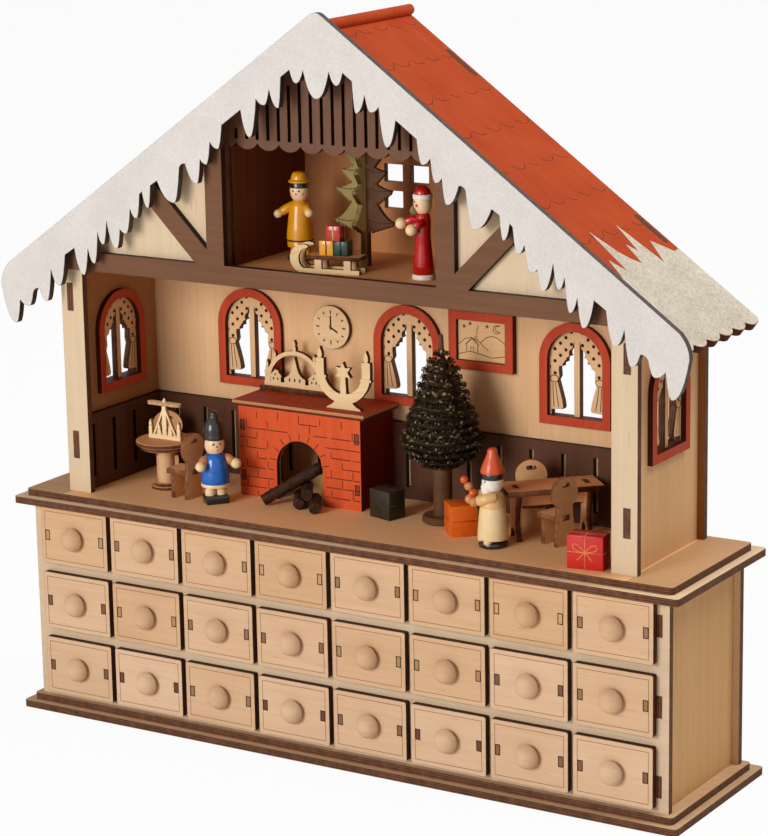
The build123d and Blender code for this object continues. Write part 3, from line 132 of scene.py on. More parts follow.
def wood_figure(tree, spot, grain, pale, deep):
    """Veneer: fine streaks, broad clouds and short dark pores along the grain."""
    streak = noise(tree, spot, along(grain, 9.0, 330.0), 5.0, 0.62, 0.4)
    cloud = noise(tree, spot, along(grain, 5.0, 26.0), 2.0, 0.5, 0.8)
    pore = noise(tree, spot, along(grain, 70.0, 1500.0), 1.0)
    colour = mixed(tree, two_noises(tree, streak, 0.75, 0.55, cloud, 0.45), pale, deep)
    pore_dark = [part * 0.62 for part in deep[:3]] + [1.0]
    return mixed(tree, ramp(tree, pore, 0.66, 0.78, 0.0, 0.5), colour, pore_dark), streak


def burnt_rim(tree, colour, char, width, strength=0.8):
    """A thin dark line on the flat sides, along their cut edges."""
    soft = put(tree, "Bevel", {"Radius": width * mm}, samples=4).outputs[0]
    sockets = {0: soft, 1: face_normal(tree)}
    square = put(tree, "VectorMath", sockets, operation="DOT_PRODUCT").outputs["Value"]
    return mixed(tree, ramp(tree, square, 0.995, 0.90, 0.0, strength), colour, char)


def cut_faces(tree, face):
    """1 on the edges that the laser cut, and 0 on a board's flat sides."""
    across = axes(tree, face_normal(tree))["XYZ".index(face)]
    return below(tree, size_of(tree, across), 0.75)


def scorch(tree, spot, colour, face, char, ply, width=0.45):
    """Laser marks: brown edges with the layers of the ply, and a thin dark rim on the flat sides."""
    depth = axes(tree, spot)["XYZ".index(face)]
    layer = maths(tree, "SINE", maths(tree, "MULTIPLY", depth, 2 * pi / ply_layers))
    smoke = noise(tree, spot, evenly(210.0))
    layers = ramp(tree, layer, -0.3, 0.5, 0.0, 0.55)
    share = maths(tree, "ADD", layers, ramp(tree, smoke, 0.3, 0.7, 0.0, 0.45))
    rimmed = burnt_rim(tree, colour, char, width)
    return mixed(tree, cut_faces(tree, face), rimmed, mixed(tree, share, char, ply))


def finish_wood(tree, shader, colour, streak, smooth=0.50, dull=0.72, relief=0.10, shine=0.15):
    """Sanded raw wood: matt, with the grain just felt."""
    tree.links.new(colour, shader.inputs["Base Color"])
    tree.links.new(ramp(tree, streak, 0.2, 0.8, smooth, dull), shader.inputs["Roughness"])
    bump = put(tree, "Bump", {"Strength": relief, "Distance": grain_depth, "Height": streak}).outputs[0]
    tree.links.new(bump, shader.inputs["Normal"])
    shader.inputs["Specular IOR Level"].default_value = shine


scorch_dark = paint(58, 33, 22)
scorch_ply = paint(122, 80, 56)


def finish_board(tree, shader, spot, colour, streak, face):
    """Raw birch with scorched edges."""
    finish_wood(tree, shader, scorch(tree, spot, colour, face, scorch_dark, scorch_ply), streak)


def birch(name, face, grain, pale, deep):
    stuff, tree, shader, spot = new_finish(name)
    colour, streak = wood_figure(tree, spot, grain, pale, deep)
    finish_board(tree, shader, spot, colour, streak, face)
    return stuff


def room_floor():
    """Birch with painted light: paler in the room, where little light reaches, than on the ends that the
    house leaves free.
    """
    stuff, tree, shader, spot = new_finish("floor_birch")
    colour, streak = wood_figure(tree, spot, "X", paint(250, 204, 154), paint(238, 184, 132))
    # Painted light: the floor in the room is painted paler than its free ends.
    beyond = over(tree, size_of(tree, axes(tree, spot)[0]), house_half)
    darker = mixed(tree, streak, paint(212, 172, 130), paint(196, 154, 110))
    finish_board(tree, shader, spot, mixed(tree, beyond, colour, darker), streak, "Z")
    return stuff


def dress(stuff, *nodes):
    """Gives CAD nodes their finish."""
    for node in nodes:
        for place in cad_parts[node].material_slots:
            place.material = stuff


plate_birch = birch("plate_birch", "Z", "X", paint(216, 184, 148), paint(198, 158, 120))
dress(plate_birch, "base_plate", "plinth_plate")
# The cornice plate is painted paler than the other plates, as painted light for light falling on its ledge
# from above.
dress(birch("cornice_birch_painted_light", "Z", "X", paint(252, 226, 190), paint(240, 206, 166)), "cornice_plate")
dress(room_floor(), "floor_plate")

# Face frame: the chest's front board with its 24 openings, of pale birch plywood.
# It is one laser cut sheet, and the tabs of the chest's sides come through its mortises.
dress(birch("frame_birch", "Y", "X", paint(214, 190, 162), paint(199, 172, 142)), "face_frame")

# Chest sides, back and the grid of shelves and dividers: birch plywood panels with tabs.
# The sides show their grain upright, and the grid is lapped crosswise inside the chest.
dress(birch("side_birch", "X", "Z", paint(216, 172, 122), paint(200, 154, 104)), "cabinet_sides")
dress(birch("back_birch", "Y", "X", paint(224, 196, 160), paint(206, 172, 132)), "cabinet_back")
dress(birch("grid_birch", "Y", "X", paint(214, 184, 146), paint(196, 160, 120)), "drawer_grid")

# Drawers: 24 small boxes of birch plywood with a front that laps over the opening.
# Each front is a different piece of veneer, with a line scored round it, tabs through two
# mortises and a turned knob glued on a peg.
drawer_count = 24
column_pitch = 50.0 * mm
row_pitch = 39.6 * mm
middle_row = 67.5 * mm
sheet_shift = (1.7, 0.31, 2.3)
score_half = (20.9 * mm, 14.4 * mm)
score_width = (0.10 * mm, 0.24 * mm)
front_face = -48.15 * mm
front_board = 4.0 * mm
front_skin = 0.2 * mm
box_rim = 5.0 * mm
tab_reach = 19.2 * mm
tab_half = (1.6 * mm, 3.1 * mm)
tab_line = 0.5 * mm


def both(tree, first, second):
    """1 where two masks are both 1."""
    return maths(tree, "MULTIPLY", first, second)


def less(tree, first, second):
    return maths(tree, "SUBTRACT", first, second)


def near(tree, value, middle, reach):
    """1 within a reach of the middle."""
    return maths(tree, "COMPARE", value, middle, reach)


def drawer_veneer():
    """Marked veneer on the fronts, each from another part of the sheet, and plain boxes behind them."""
    stuff, tree, shader, spot = new_finish("drawer_birch")
    x, y, z = axes(tree, spot)
    column = maths(tree, "FLOOR", maths(tree, "DIVIDE", x, column_pitch))
    rise = less(tree, z, middle_row)
    row = maths(tree, "FLOOR", maths(tree, "ADD", maths(tree, "DIVIDE", rise, row_pitch), 0.5))
    cell = put(tree, "CombineXYZ", {0: column, 1: row}).outputs[0]
    tone = put(tree, "TexWhiteNoise", {"Vector": cell}, noise_dimensions="3D").outputs[0]
    shift = put(tree, "VectorMath", {0: cell, 1: sheet_shift}, operation="MULTIPLY").outputs[0]
    sheet = put(tree, "VectorMath", {0: spot, 1: shift}).outputs[0]
    colour, streak = wood_figure(tree, sheet, "X", paint(222, 190, 161), paint(206, 170, 137))
    sockets = {0: tone, 6: colour, 7: paint(240, 230, 212)}
    colour = put(tree, "Mix", sockets, data_type="RGBA", blend_type="MULTIPLY").outputs[2]
    in_column = maths(tree, "FLOORED_MODULO", x, column_pitch)
    u = size_of(tree, less(tree, in_column, column_pitch / 2))
    in_row = less(tree, rise, maths(tree, "MULTIPLY", row, row_pitch))
    v = size_of(tree, in_row)
    reach = maths(tree, "MAXIMUM", less(tree, u, score_half[0]), less(tree, v, score_half[1]))
    line = ramp(tree, size_of(tree, reach), *score_width, 0.85, 0.0)
    marked = mixed(tree, line, colour, paint(96, 58, 34))
    tab_end = mixed(tree, tone, paint(92, 56, 40), paint(196, 156, 116))
    for inset, stain in ((0.0, paint(48, 26, 16)), (tab_line, tab_end)):
        beside = near(tree, u, tab_reach, tab_half[0] - inset)
        inside = both(tree, beside, below(tree, v, tab_half[1] - inset))
        marked = mixed(tree, inside, marked, stain)
    on_skin = both(tree, over(tree, y, front_face - front_skin), below(tree, y, front_face + front_skin))
    front = mixed(tree, on_skin, colour, marked)
    burnt_front = scorch(tree, spot, front, "Y", paint(48, 22, 13), paint(78, 42, 27))
    top_edge = both(tree, less(tree, 1.0, cut_faces(tree, "Z")), over(tree, in_row, box_rim))
    box = mixed(tree, top_edge, colour, paint(96, 58, 38))
    box = mixed(tree, over(tree, y, front_face + front_board), colour, box)
    on_front = near(tree, y, front_face + front_board / 2, (front_board + front_skin) / 2)
    finish_wood(tree, shader, mixed(tree, on_front, box, burnt_front), streak)
    return stuff


dress(drawer_veneer(), *(f"drawer_{number:02d}" for number in range(1, drawer_count + 1)))

# House shell: back wall, side walls, gable board, attic floor and cheeks, of birch plywood.
# The curtains of the windows are cut out of the wall itself and have burnt dots,
# and the boards hold each other with tabs.
window_spots = (-107.0, 0.0, 107.0)
window_sill = 187.5
window_inner = (34.0, 48.0)
window_band = 5.0
side_window_y = 3.3
curtain_hem = 21.5
curtain_margin = 0.3
dot_pitch = 6.8
dot_radius = 1.1
dot_blur = 0.2
mullion_half = 2.3
wall_outer = 180.0
attic_level = 272.0


def distance(tree, first, second):
    squares = [maths(tree, "POWER", side, 2.0) for side in (first, second)]
    return maths(tree, "SQRT", maths(tree, "ADD", *squares))


def curtain_dots(tree, nearest, z):
    """Rows of dots, every other row set half a pitch aside."""
    row = maths(tree, "FLOOR", maths(tree, "DIVIDE", z, dot_pitch / 2 * mm))
    odd = maths(tree, "MULTIPLY", maths(tree, "FLOORED_MODULO", row, 2.0), dot_pitch / 2 * mm)
    step = maths(tree, "FLOORED_MODULO", maths(tree, "ADD", nearest, odd), dot_pitch * mm)
    aside = less(tree, step, dot_pitch / 2 * mm)
    above = less(tree, maths(tree, "FLOORED_MODULO", z, dot_pitch / 2 * mm), dot_pitch / 4 * mm)
    return ramp(tree, distance(tree, aside, above), dot_radius * mm, (dot_radius - dot_blur) * mm)


def wall_veneer(name, pale, deep, face, across, spots):
    """Birch wall with dotted curtains inside its arched windows, and painted shade on its inner face: in the
    attic on the back wall, and round the windows on the side walls.
    """
    stuff, tree, shader, spot = new_finish(name)
    colour, streak = wood_figure(tree, spot, "Z", pale, deep)
    places = axes(tree, spot)
    u, z = places["XYZ".index(across)], places[2]
    bottom = (window_sill + window_band) * mm
    arch_radius = window_inner[0] / 2
    spring = bottom + (window_inner[1] - arch_radius) * mm
    gaps = [size_of(tree, less(tree, u, place * mm)) for place in spots]
    nearest = gaps[0]
    for gap in gaps[1:]:
        nearest = maths(tree, "MINIMUM", nearest, gap)
    reach = distance(tree, nearest, maths(tree, "MAXIMUM", less(tree, z, spring), 0.0))
    normal = axes(tree, face_normal(tree))
    if across == "X":
        # Painted shade: the back wall's face beyond the side walls is painted brown, where it lies in
        # shadow.
        strip_painted_shade = mixed(tree, streak, paint(168, 112, 64), paint(134, 82, 42))
        colour = mixed(tree, over(tree, size_of(tree, u), wall_outer * mm), colour, strip_painted_shade)
        # Painted shade: the back wall's inner face is darker in the attic.
        painted_shade_mask = both(tree, below(tree, normal[1], -0.5), over(tree, z, attic_level * mm))
        painted_shade = mixed(tree, streak, paint(206, 144, 94), paint(184, 118, 72))
    else:
        curtain = both(tree, below(tree, reach, arch_radius * mm), over(tree, z, bottom))
        # Painted shade: the side walls' inner faces are darker, except on the curtains.
        inward = below(tree, maths(tree, "MULTIPLY", normal[0], places[0]), -0.1)
        painted_shade_mask = both(tree, inward, less(tree, 1.0, curtain))
        painted_shade = mixed(tree, streak, paint(178, 128, 84), paint(152, 102, 62))
    colour = mixed(tree, painted_shade_mask, colour, painted_shade)
    inside = below(tree, reach, (arch_radius - curtain_margin) * mm)
    inside = both(tree, inside, over(tree, nearest, mullion_half * mm))
    inside = both(tree, inside, over(tree, z, bottom + curtain_hem * mm))
    dot = both(tree, curtain_dots(tree, nearest, z), inside)
    colour = mixed(tree, dot, colour, paint(30, 17, 12))
    finish_board(tree, shader, spot, colour, streak, face)
    return stuff


back_shades = (paint(226, 186, 143), paint(212, 168, 124))
side_shades = (paint(234, 192, 146), paint(216, 168, 118))
dress(wall_veneer("back_wall_birch", *back_shades, "Y", "X", window_spots), "house_back_wall")
dress(wall_veneer("side_wall_birch", *side_shades, "X", "Y", [side_window_y]), "house_sides")
dress(birch("gable_birch", "Y", "Z", paint(218, 196, 167), paint(204, 179, 148)), "front_gable")
dress(birch("attic_floor_birch", "Z", "X", paint(228, 168, 112), paint(206, 142, 90)), "attic_floor")
# The attic cheeks are painted dark brown as painted shade, where little light reaches them.
dress(birch("attic_cheek_painted_shade", "X", "Z", paint(112, 58, 32), paint(92, 44, 24)), "attic_cheeks")

# Timber frame, attic valance and wainscot: birch plywood stained brown, laid on the walls.
# The stain lets the grain through, and the slots between the planks are burnt through.
hearth_middle = -50.0
hearth_inside = 36.5
side_board = 172.8
stain_sheen = (0.45, 0.62)


def stained(name, face, grain, pale, deep, char):
    stuff, tree, shader, spot = new_finish(name)
    colour, streak = wood_figure(tree, spot, grain, pale, deep)
    finish_wood(tree, shader, scorch(tree, spot, colour, face, char, char), streak, *stain_sheen)
    return stuff


def panelling(char):
    """Brown panels on the walls, left bare where the fireplace hides them."""
    stuff, tree, shader, spot = new_finish("wainscot_brown")
    colour, streak = wood_figure(tree, spot, "Z", paint(98, 62, 44), paint(76, 46, 32))
    x = axes(tree, spot)[0]
    hidden = near(tree, x, hearth_middle * mm, hearth_inside * mm)
    colour = mixed(tree, hidden, colour, mixed(tree, streak, paint(216, 178, 130), paint(190, 146, 98)))
    on_side = over(tree, size_of(tree, x), side_board * mm)
    back_panel, side_panel = (scorch(tree, spot, colour, face, char, char) for face in "YX")
    finish_wood(tree, shader, mixed(tree, on_side, back_panel, side_panel), streak, *stain_sheen)
    return stuff


timber_brown = stained("timber_brown", "Y", "X", paint(118, 81, 58), paint(99, 66, 46), paint(40, 21, 14))
valance_brown = stained("valance_brown", "Y", "Z", paint(114, 80, 62), paint(94, 64, 48), paint(32, 17, 12))
dress(timber_brown, "timber_frame")
dress(valance_brown, "attic_valance")
dress(panelling(paint(24, 12, 8)), "wainscot")

# Roof: two panels of terracotta-stained plywood with scalloped eaves and a round ridge cap.
# The panels lie glued on the walls, whose tabs come through them, and their edges are burnt.
ridge_top = 408.0
roof_slope = 0.7155
roof_lean = atan(roof_slope)
roof_front, roof_rear = -45.45, 46.85


def roof_stain(name, pale, deep, panel):
    """Matt terracotta paint, with the burnt edges of a panel."""
    stuff, tree, shader, spot = new_finish(name)
    mottle = noise(tree, spot, evenly(38.0), 4.0, 0.6)
    grain = noise(tree, spot, (30.0, 500.0, 30.0))
    share = maths(tree, "ADD", maths(tree, "MULTIPLY", mottle, 1.4), maths(tree, "MULTIPLY", grain, 0.6))
    colour = mixed(tree, ramp(tree, share, 0.7, 1.3), pale, deep)
    if panel:
        colour = burnt_rim(tree, colour, paint(48, 24, 16), 0.5)
        upward = size_of(tree, axes(tree, face_normal(tree))[2])
        edge_brown = mixed(tree, mottle, paint(54, 26, 17), paint(86, 46, 30))
        colour = mixed(tree, near(tree, upward, cos(roof_lean), 0.12), edge_brown, colour)
    finish_wood(tree, shader, colour, grain, 0.55, 0.75, 0.15, 0.08)
    return stuff


dress(roof_stain("roof_terracotta", paint(206, 88, 46), paint(192, 76, 38), True), "roof_panels")
dress(roof_stain("ridge_terracotta", paint(208, 88, 48), paint(192, 76, 40), False), "ridge_cap")

# Snow fascia: the icicle board in front of the roof, painted white with fine glitter.
# It is one sawn sheet of plywood, and its cut edges stay scorched dark.
snow_depth = 0.15 * mm


def speckles(tree, spot, scale):
    """Grains, each with its own share between 0 and 1."""
    grains = put(tree, "TexVoronoi", {"Vector": spot, "Scale": scale}, feature="F1").outputs["Color"]
    return put(tree, "SeparateColor", {0: grains}).outputs[0]


def glitter(tree, spot, pale, deep, grain):
    """Matt snow paint with bright and grey grains."""
    sparkle = speckles(tree, spot, grain)
    drift = noise(tree, spot, evenly(55.0))
    grainy = ramp(tree, sparkle, 0.0, 1.0, 0.0, 0.6)
    share = maths(tree, "ADD", grainy, ramp(tree, drift, 0.3, 0.7, 0.0, 0.4))
    return mixed(tree, share, pale, deep), sparkle


def snow_finish(name, pale, deep, face, grain):
    stuff, tree, shader, spot = new_finish(name)
    colour, sparkle = glitter(tree, spot, pale, deep, grain)
    if face:
        colour = scorch(tree, spot, colour, face, paint(40, 26, 20), paint(66, 44, 34), 0.5)
    tree.links.new(colour, shader.inputs["Base Color"])
    tree.links.new(ramp(tree, sparkle, 0.0, 1.0, 0.35, 0.75), shader.inputs["Roughness"])
    bump = put(tree, "Bump", {"Strength": 0.35, "Distance": snow_depth, "Height": sparkle}).outputs[0]
    tree.links.new(bump, shader.inputs["Normal"])
    return stuff


snow_board = snow_finish("snow_board", paint(216, 212, 209), paint(198, 193, 190), "Y", 1500.0)
dress(snow_board, "snow_fascia")

# Window frames, picture frame and clock: arched rings and a frame of red-stained plywood, glued
# round the windows and on the wall, and a disc of bare birch. The picture's panel is bare birch too.
side_frames = 170.0
picture_spot = (48.6, 38.75, 229.5)
picture_half = (15.45, 11.45)


def red_stain(name, panel):
    """Red stain over plywood with burnt edges, and bare birch where a picture's panel shows."""
    stuff, tree, shader, spot = new_finish(name)
    colour, streak = wood_figure(tree, spot, "Z", paint(194, 76, 44), paint(170, 56, 32))
    places = axes(tree, spot)
    x, z = places[0], places[2]
    if panel:
        within = near(tree, x, picture_spot[0] * mm, picture_half[0] * mm)
        within = both(tree, within, near(tree, z, picture_spot[2] * mm, picture_half[1] * mm))
        bare = wood_figure(tree, spot, "X", paint(228, 190, 142), paint(210, 168, 120))[0]
        colour = mixed(tree, within, colour, bare)
    on_side = over(tree, size_of(tree, x), side_frames * mm)
    edge = put(tree, "Mix", {0: on_side, 2: cut_faces(tree, "Y"), 3: cut_faces(tree, "X")}).outputs[0]
    colour = burnt_rim(tree, colour, paint(60, 22, 14), 0.4)
    colour = mixed(tree, edge, colour, mixed(tree, streak, paint(40, 15, 10), paint(90, 32, 20)))
    finish_wood(tree, shader, colour, streak, 0.45, 0.65)
    return stuff


dress(red_stain("frame_red", False), "window_frames")
dress(red_stain("picture_red", True), "picture")
dress(birch("clock_birch", "Y", "X", paint(228, 196, 154), paint(210, 174, 132)), "clock")

# Fireplace: plywood stained brick orange, with the joints of the bricks burnt into its front.
# The mantel and the sides are a darker red, and the sides' tabs show through the front.
hearth_front = 1.35
hearth_board = 3.0
hearth_tabs = (38.5, (145.0, 174.5))
hearth_tab_half = (1.6, 3.1)
hearth_tab_line = 0.5
mantel_bottom = 186.0
mantel_shade_line = 187.3


def brick_stain():
    stuff, tree, shader, spot = new_finish("fireplace_brick")
    colour, streak = wood_figure(tree, spot, "Z", paint(214, 90, 45), paint(194, 72, 34))
    x, y, z = axes(tree, spot)
    normal = axes(tree, face_normal(tree))
    across = less(tree, x, hearth_middle * mm)
    reach = size_of(tree, across)
    for inset, stain in ((0.0, paint(48, 20, 12)), (hearth_tab_line, paint(128, 62, 38))):
        beside = near(tree, reach, hearth_tabs[0] * mm, (hearth_tab_half[0] - inset) * mm)
        for level in hearth_tabs[1]:
            tab = both(tree, beside, near(tree, z, level * mm, (hearth_tab_half[1] - inset) * mm))
            colour = mixed(tree, tab, colour, stain)
    outward = maths(tree, "MULTIPLY", normal[0], maths(tree, "SIGN", across))
    side_red = mixed(tree, streak, paint(112, 22, 10), paint(88, 14, 6))
    colour = mixed(tree, over(tree, outward, 0.7), colour, side_red)
    bare = mixed(tree, streak, paint(206, 164, 116), paint(176, 130, 84))
    inner = mixed(tree, over(tree, y, (hearth_front + hearth_board) * mm), paint(64, 24, 14), bare)
    colour = mixed(tree, below(tree, outward, -0.7), colour, inner)
    mantel_red = mixed(tree, streak, paint(172, 62, 30), paint(146, 46, 20))
    edge = below(tree, size_of(tree, normal[2]), 0.7)
    # Painted shade: the lower part of the mantel's front edge is dark brown, under a pale line at its top.
    mantel_edge_with_painted_shade = mixed(tree, over(tree, z, mantel_shade_line * mm), paint(84, 38, 22), paint(186, 126, 84))
    mantel = mixed(tree, edge, mantel_red, mantel_edge_with_painted_shade)
    colour = mixed(tree, over(tree, z, mantel_bottom * mm), colour, mantel)
    finish_wood(tree, shader, colour, streak, 0.5, 0.7)
    return stuff


dress(brick_stain(), "fireplace")

# Roof tiles: rows of scallops engraved by laser across both panels, in line with the eaves' scallops.
# The lines are faint and break off here and there.
tile_rows, scallops = 9, 6
tile_first, tile_pitch, tile_drop = 4.0, 28.7, 5.0
tile_line = 0.55
scallop_width = (roof_rear - roof_front) / scallops
scallop_steps = 8
line_height = 0.4
weld = 0.002


def char_line(name, dark, light, grain, roughness=0.85):
    """The brown of a line that the laser drew."""
    stuff, tree, shader, spot = new_finish(name)
    char = noise(tree, spot, evenly(grain))
    tree.links.new(mixed(tree, char, dark, light), shader.inputs["Base Color"])
    shader.inputs["Roughness"].default_value = roughness
    return stuff


def chance(*numbers):
    """A fixed share between 0 and 1 for each set of numbers, so that like pieces differ."""
    weights = (12.9898, 78.233, 37.719)
    return sin(sum(number * weight for number, weight in zip(numbers, weights))) * 43758.5453 % 1.0


def fit(piece, slot, *nodes):
    """Fixes a piece in the house and hides the plain solids that it stands for; its slot is not used."""
    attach(piece, "house")
    if nodes:
        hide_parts(*nodes)


def deselect():
    bpy.ops.object.select_all(action="DESELECT")


def to_mesh(name, line):
    """Turns a drawn line into a mesh."""
    piece = bpy.data.objects.new(name, line)
    bpy.context.collection.objects.link(piece)
    deselect()
    piece.select_set(True)
    bpy.context.view_layer.objects.active = piece
    bpy.ops.object.convert(target="MESH")
    return bpy.context.object


def close_up():
    """Merges the points of the active mesh and turns its faces outwards."""
    bpy.ops.object.mode_set(mode="EDIT")
    bpy.ops.mesh.select_all(action="SELECT")
    bpy.ops.mesh.remove_doubles(threshold=weld * mm)
    bpy.ops.mesh.normals_make_consistent(inside=False)
    bpy.ops.object.mode_set(mode="OBJECT")


def draw(name, kind, runs, closed):
    """A flat drawing of one or more runs, in millimetres."""
    line = bpy.data.curves.new(name, "CURVE")
    line.dimensions = kind
    for points in runs:
        run = line.splines.new("POLY")
        run.points.add(len(points) - 1)
        for knot, (u, v) in zip(run.points, points):
            knot.co = (u * mm, v * mm, 0.0, 1.0)
        run.use_cyclic_u = closed
    return line


def score(name, runs, width, stuff, place):
    """Scored lines on a board: flat strips along drawn runs."""
    line = draw(name, "3D", runs, False)
    line.bevel_depth = width * mm / 2
    line.bevel_resolution = 0
    line.use_fill_caps = True
    piece = to_mesh(name, line)
    close_up()
    piece.data.transform(place @ Matrix.Scale(line_height, 4, (0, 0, 1)))
    piece.data.materials.append(stuff)
    return piece


def roof_place(side):
    """Down the slope, along the ridge and out of the roof, from the ridge's middle."""
    down = Vector((side * cos(roof_lean), 0, -sin(roof_lean)))
    back = Vector((0, side, 0))
    turned = Matrix((down, back, down.cross(back))).transposed().to_4x4()
    return Matrix.Translation((0, 0, ridge_top * mm)) @ turned


def tile_arcs(side):
    runs = []
    for row in range(tile_rows):
        for count in range(scallops):
            left = (roof_front if side > 0 else -roof_rear) + count * scallop_width
            first = 0.12 * chance(row, count, side)
            last = 1.0 - 0.5 * chance(count, side, row + 3)
            scallop = []
            for step in range(scallop_steps):
                share = first + (last - first) * step / (scallop_steps - 1)
                drop = tile_drop * (1 - (2 * share - 1) ** 2)
                scallop.append((tile_first + row * tile_pitch + drop, left + share * scallop_width))
            runs.append(scallop)
    return runs


both_sides = (("right", 1), ("left", -1))
tile_brown = char_line("tile_line_brown", paint(96, 36, 18), paint(138, 54, 28), 120.0, 0.8)
for tag, side in both_sides:
    tiles = score("roof_tiles_" + tag, tile_arcs(side), tile_line, tile_brown, roof_place(side))
    fit(tiles, "terracotta_roof")

# Roof snow: white glitter paint over the lower end of both panels, brushed up into long tips.
# It lies on the stain as a thin skin and ends at the scalloped eave.
snow_tips = ((226.0, 2.9), (218.0, 12.0), (207.5, 22.0), (195.2, 26.7), (205.4, 32.0), (174.6, 36.7),
             (192.0, 41.5), (199.0, 46.0), (203.9, 51.0), (189.4, 54.9), (196.0, 59.0), (176.2, 64.8),
             (208.2, 69.7), (192.3, 78.3), (203.5, 88.7), (202.8, 94.8))
snow_coat = 0.4
tips_front = 48.15
eave_length, eave_depth = 259.3, 3.4
eave_margin = 0.1
eave_scallop = scallop_width - 0.03


def saw(name, outlines, thickness, stuff, place, edge=None):
    """A flat board sawn to an outline, with holes, and its cut edges in their own finish."""
    line = draw(name, "2D", outlines, True)
    line.fill_mode = "BOTH"
    line.extrude = thickness * mm / 2
    piece = to_mesh(name, line)
    close_up()
    piece.data.materials.append(stuff)
    piece.data.materials.append(edge or stuff)
    for side in piece.data.polygons:
        side.material_index = 0 if abs(side.normal.z) > 0.7 else 1
    piece.data.transform(place)
    return piece


def snow_outline(side):
    brush = [(s, side * (depth - tips_front)) for s, depth in snow_tips]
    eave = []
    for step in range(scallops * scallop_steps):
        share = step % scallop_steps / scallop_steps
        drop = eave_depth * (1 - (2 * share - 1) ** 2)
        depth = roof_rear - eave_margin - step / scallop_steps * eave_scallop
        eave.append((eave_length + drop, side * depth))
    return brush + eave + [(eave_length, side * (roof_front + eave_margin))]


roof_snow = snow_finish("roof_snow_paint", paint(248, 240, 226), paint(196, 186, 168), "", 1050.0)
for tag, side in both_sides:
    fit(saw("roof_snow_" + tag, [snow_outline(side)], snow_coat, roof_snow, roof_place(side)), "snow_board")

# Curtain ties and folds: lines burnt into the curtains, a knot and the pleats of the skirt below it.
# They are drawn on each window's wall, and the dots above them are in the wall's finish.
curtain_line = 0.5
knot_spot, knot_radii = (14.0, 25.2), (2.6, 1.9)
pleat_levels = (22.8, 17.0, 9.4)
wall_front = 40.75
wall_inner = 176.0
stand_up = Matrix(((1, 0, 0), (0, 0, -1), (0, 1, 0))).to_4x4()
burnt_line = char_line("burnt_line", paint(40, 22, 15), paint(78, 46, 30), 260.0)


def lying(x, y, z, turn_by=0.0):
    """A place in the house, in millimetres, turned about its upright axis."""
    return Matrix.Translation((x * mm, y * mm, z * mm)) @ Matrix.Rotation(radians(turn_by), 4, "Z")


def facing_front(x, y, z, turn_by=0.0):
    """Stands a drawn board up, seen from the front, and turns it about its upright axis."""
    return lying(x, y, z, turn_by) @ stand_up


def rounded(x, z, radius_x, radius_z, turns):
    return [(x + radius_x * cos(a), z + radius_z * sin(a)) for a in turns]


curtain_lines = []
for side in (-1, 1):
    knot = rounded(*knot_spot, *knot_radii, [0.3 * k for k in range(22)])
    curtain_lines.append([(side * u, v) for u, v in knot])
    for foot, head in ((11.4, 13.4), (14.4, 15.0)):
        pleat = zip((head, 0.65 * head + 0.35 * foot, foot), pleat_levels)
        curtain_lines.append([(side * u, v) for u, v in pleat])


def curtains(tag, place, slot):
    fit(score("curtain_lines_" + tag, curtain_lines, curtain_line, burnt_line, place), slot)


for count, x in enumerate(window_spots):
    curtains(f"back_{count}", facing_front(x, wall_front, window_sill), "birch_back_wall")
for tag, side in both_sides:
    inside = facing_front(side * wall_inner, side_window_y, window_sill, -90 * side)
    outside = facing_front(side * wall_outer, side_window_y, window_sill, 90 * side)
    curtains(tag + "_inside", inside, "birch_side_wall")
    curtains(tag + "_outside", outside, "birch_side_wall")

# Clock face: twelve hour marks, the quarters longer, and two hands that stand at four.
# They are burnt into a birch disc that is glued to the wall over the mantel.
clock_place = facing_front(-50.6, 37.75, 228.0)
mark_line, hand_line = 0.75, 1.1
mark_start, quarter_start, mark_end = 8.4, 7.6, 10.0
clock_marks = []
for hour in range(12):
    start = mark_start if hour % 3 else quarter_start
    clock_marks.append([(r * sin(pi * hour / 6), r * cos(pi * hour / 6)) for r in (start, mark_end)])
clock_hands = [[(0, -1.4), (0, 6.8)], [(-1.0, 0.58), (4.6, -2.66)]]
fit(score("clock_marks", clock_marks, mark_line, burnt_line, clock_place), "birch_clock")
fit(score("clock_hands", clock_hands, hand_line, burnt_line, clock_place), "birch_clock")

# Picture: a birch panel in the red frame with a small winter view burnt into it:
# hills, a cottage with a smoking chimney, a moon and stars.
picture_line = 0.4
star_radius = 1.1
picture_lines = [
    [(-15.2, -3.0), (-11.0, 0.5), (-7.0, 1.6), (-3.0, 0.4), (0.5, -2.6), (4.0, -5.0)],
    [(-1.2, -1.0), (2.5, 2.2), (6.0, 3.4), (10.0, 2.6), (15.2, -0.8)],
    [(-15.2, -8.4), (-8.0, -6.4), (-1.0, -7.4), (6.0, -9.0), (15.2, -7.2)],
    [(-10.0, -6.4), (-10.0, -2.2), (-6.4, 1.0), (-2.8, -2.2), (-2.8, -6.8)],
    [(-11.0, -2.9), (-6.4, 1.6), (-1.8, -2.9)],
    [(-7.4, -6.6), (-7.4, -4.0), (-5.4, -4.0), (-5.4, -6.8)],
    [(-4.4, 0.2), (-4.4, 2.4), (-3.2, 2.4), (-3.2, -1.0)],
    [(-3.8, 3.2), (-2.8, 4.4), (-3.6, 5.8), (-2.4, 7.4), (-3.0, 9.0)],
    rounded(9.4, 7.4, 2.3, 2.3, [0.9 + 0.3 * k for k in range(17)]),
    rounded(10.4, 7.9, 1.8, 1.8, [1.0 + 0.3 * k for k in range(15)]),
]
for star_x, star_z in ((-11.5, 7.6), (3.2, 8.6), (-7.6, 9.4)):
    for angle in (0, pi / 3, 2 * pi / 3):
        picture_lines.append(rounded(star_x, star_z, star_radius, star_radius, (angle + pi, angle)))
picture = score("picture_lines", picture_lines, picture_line, burnt_line, facing_front(*picture_spot))
fit(picture, "red_picture_frame")

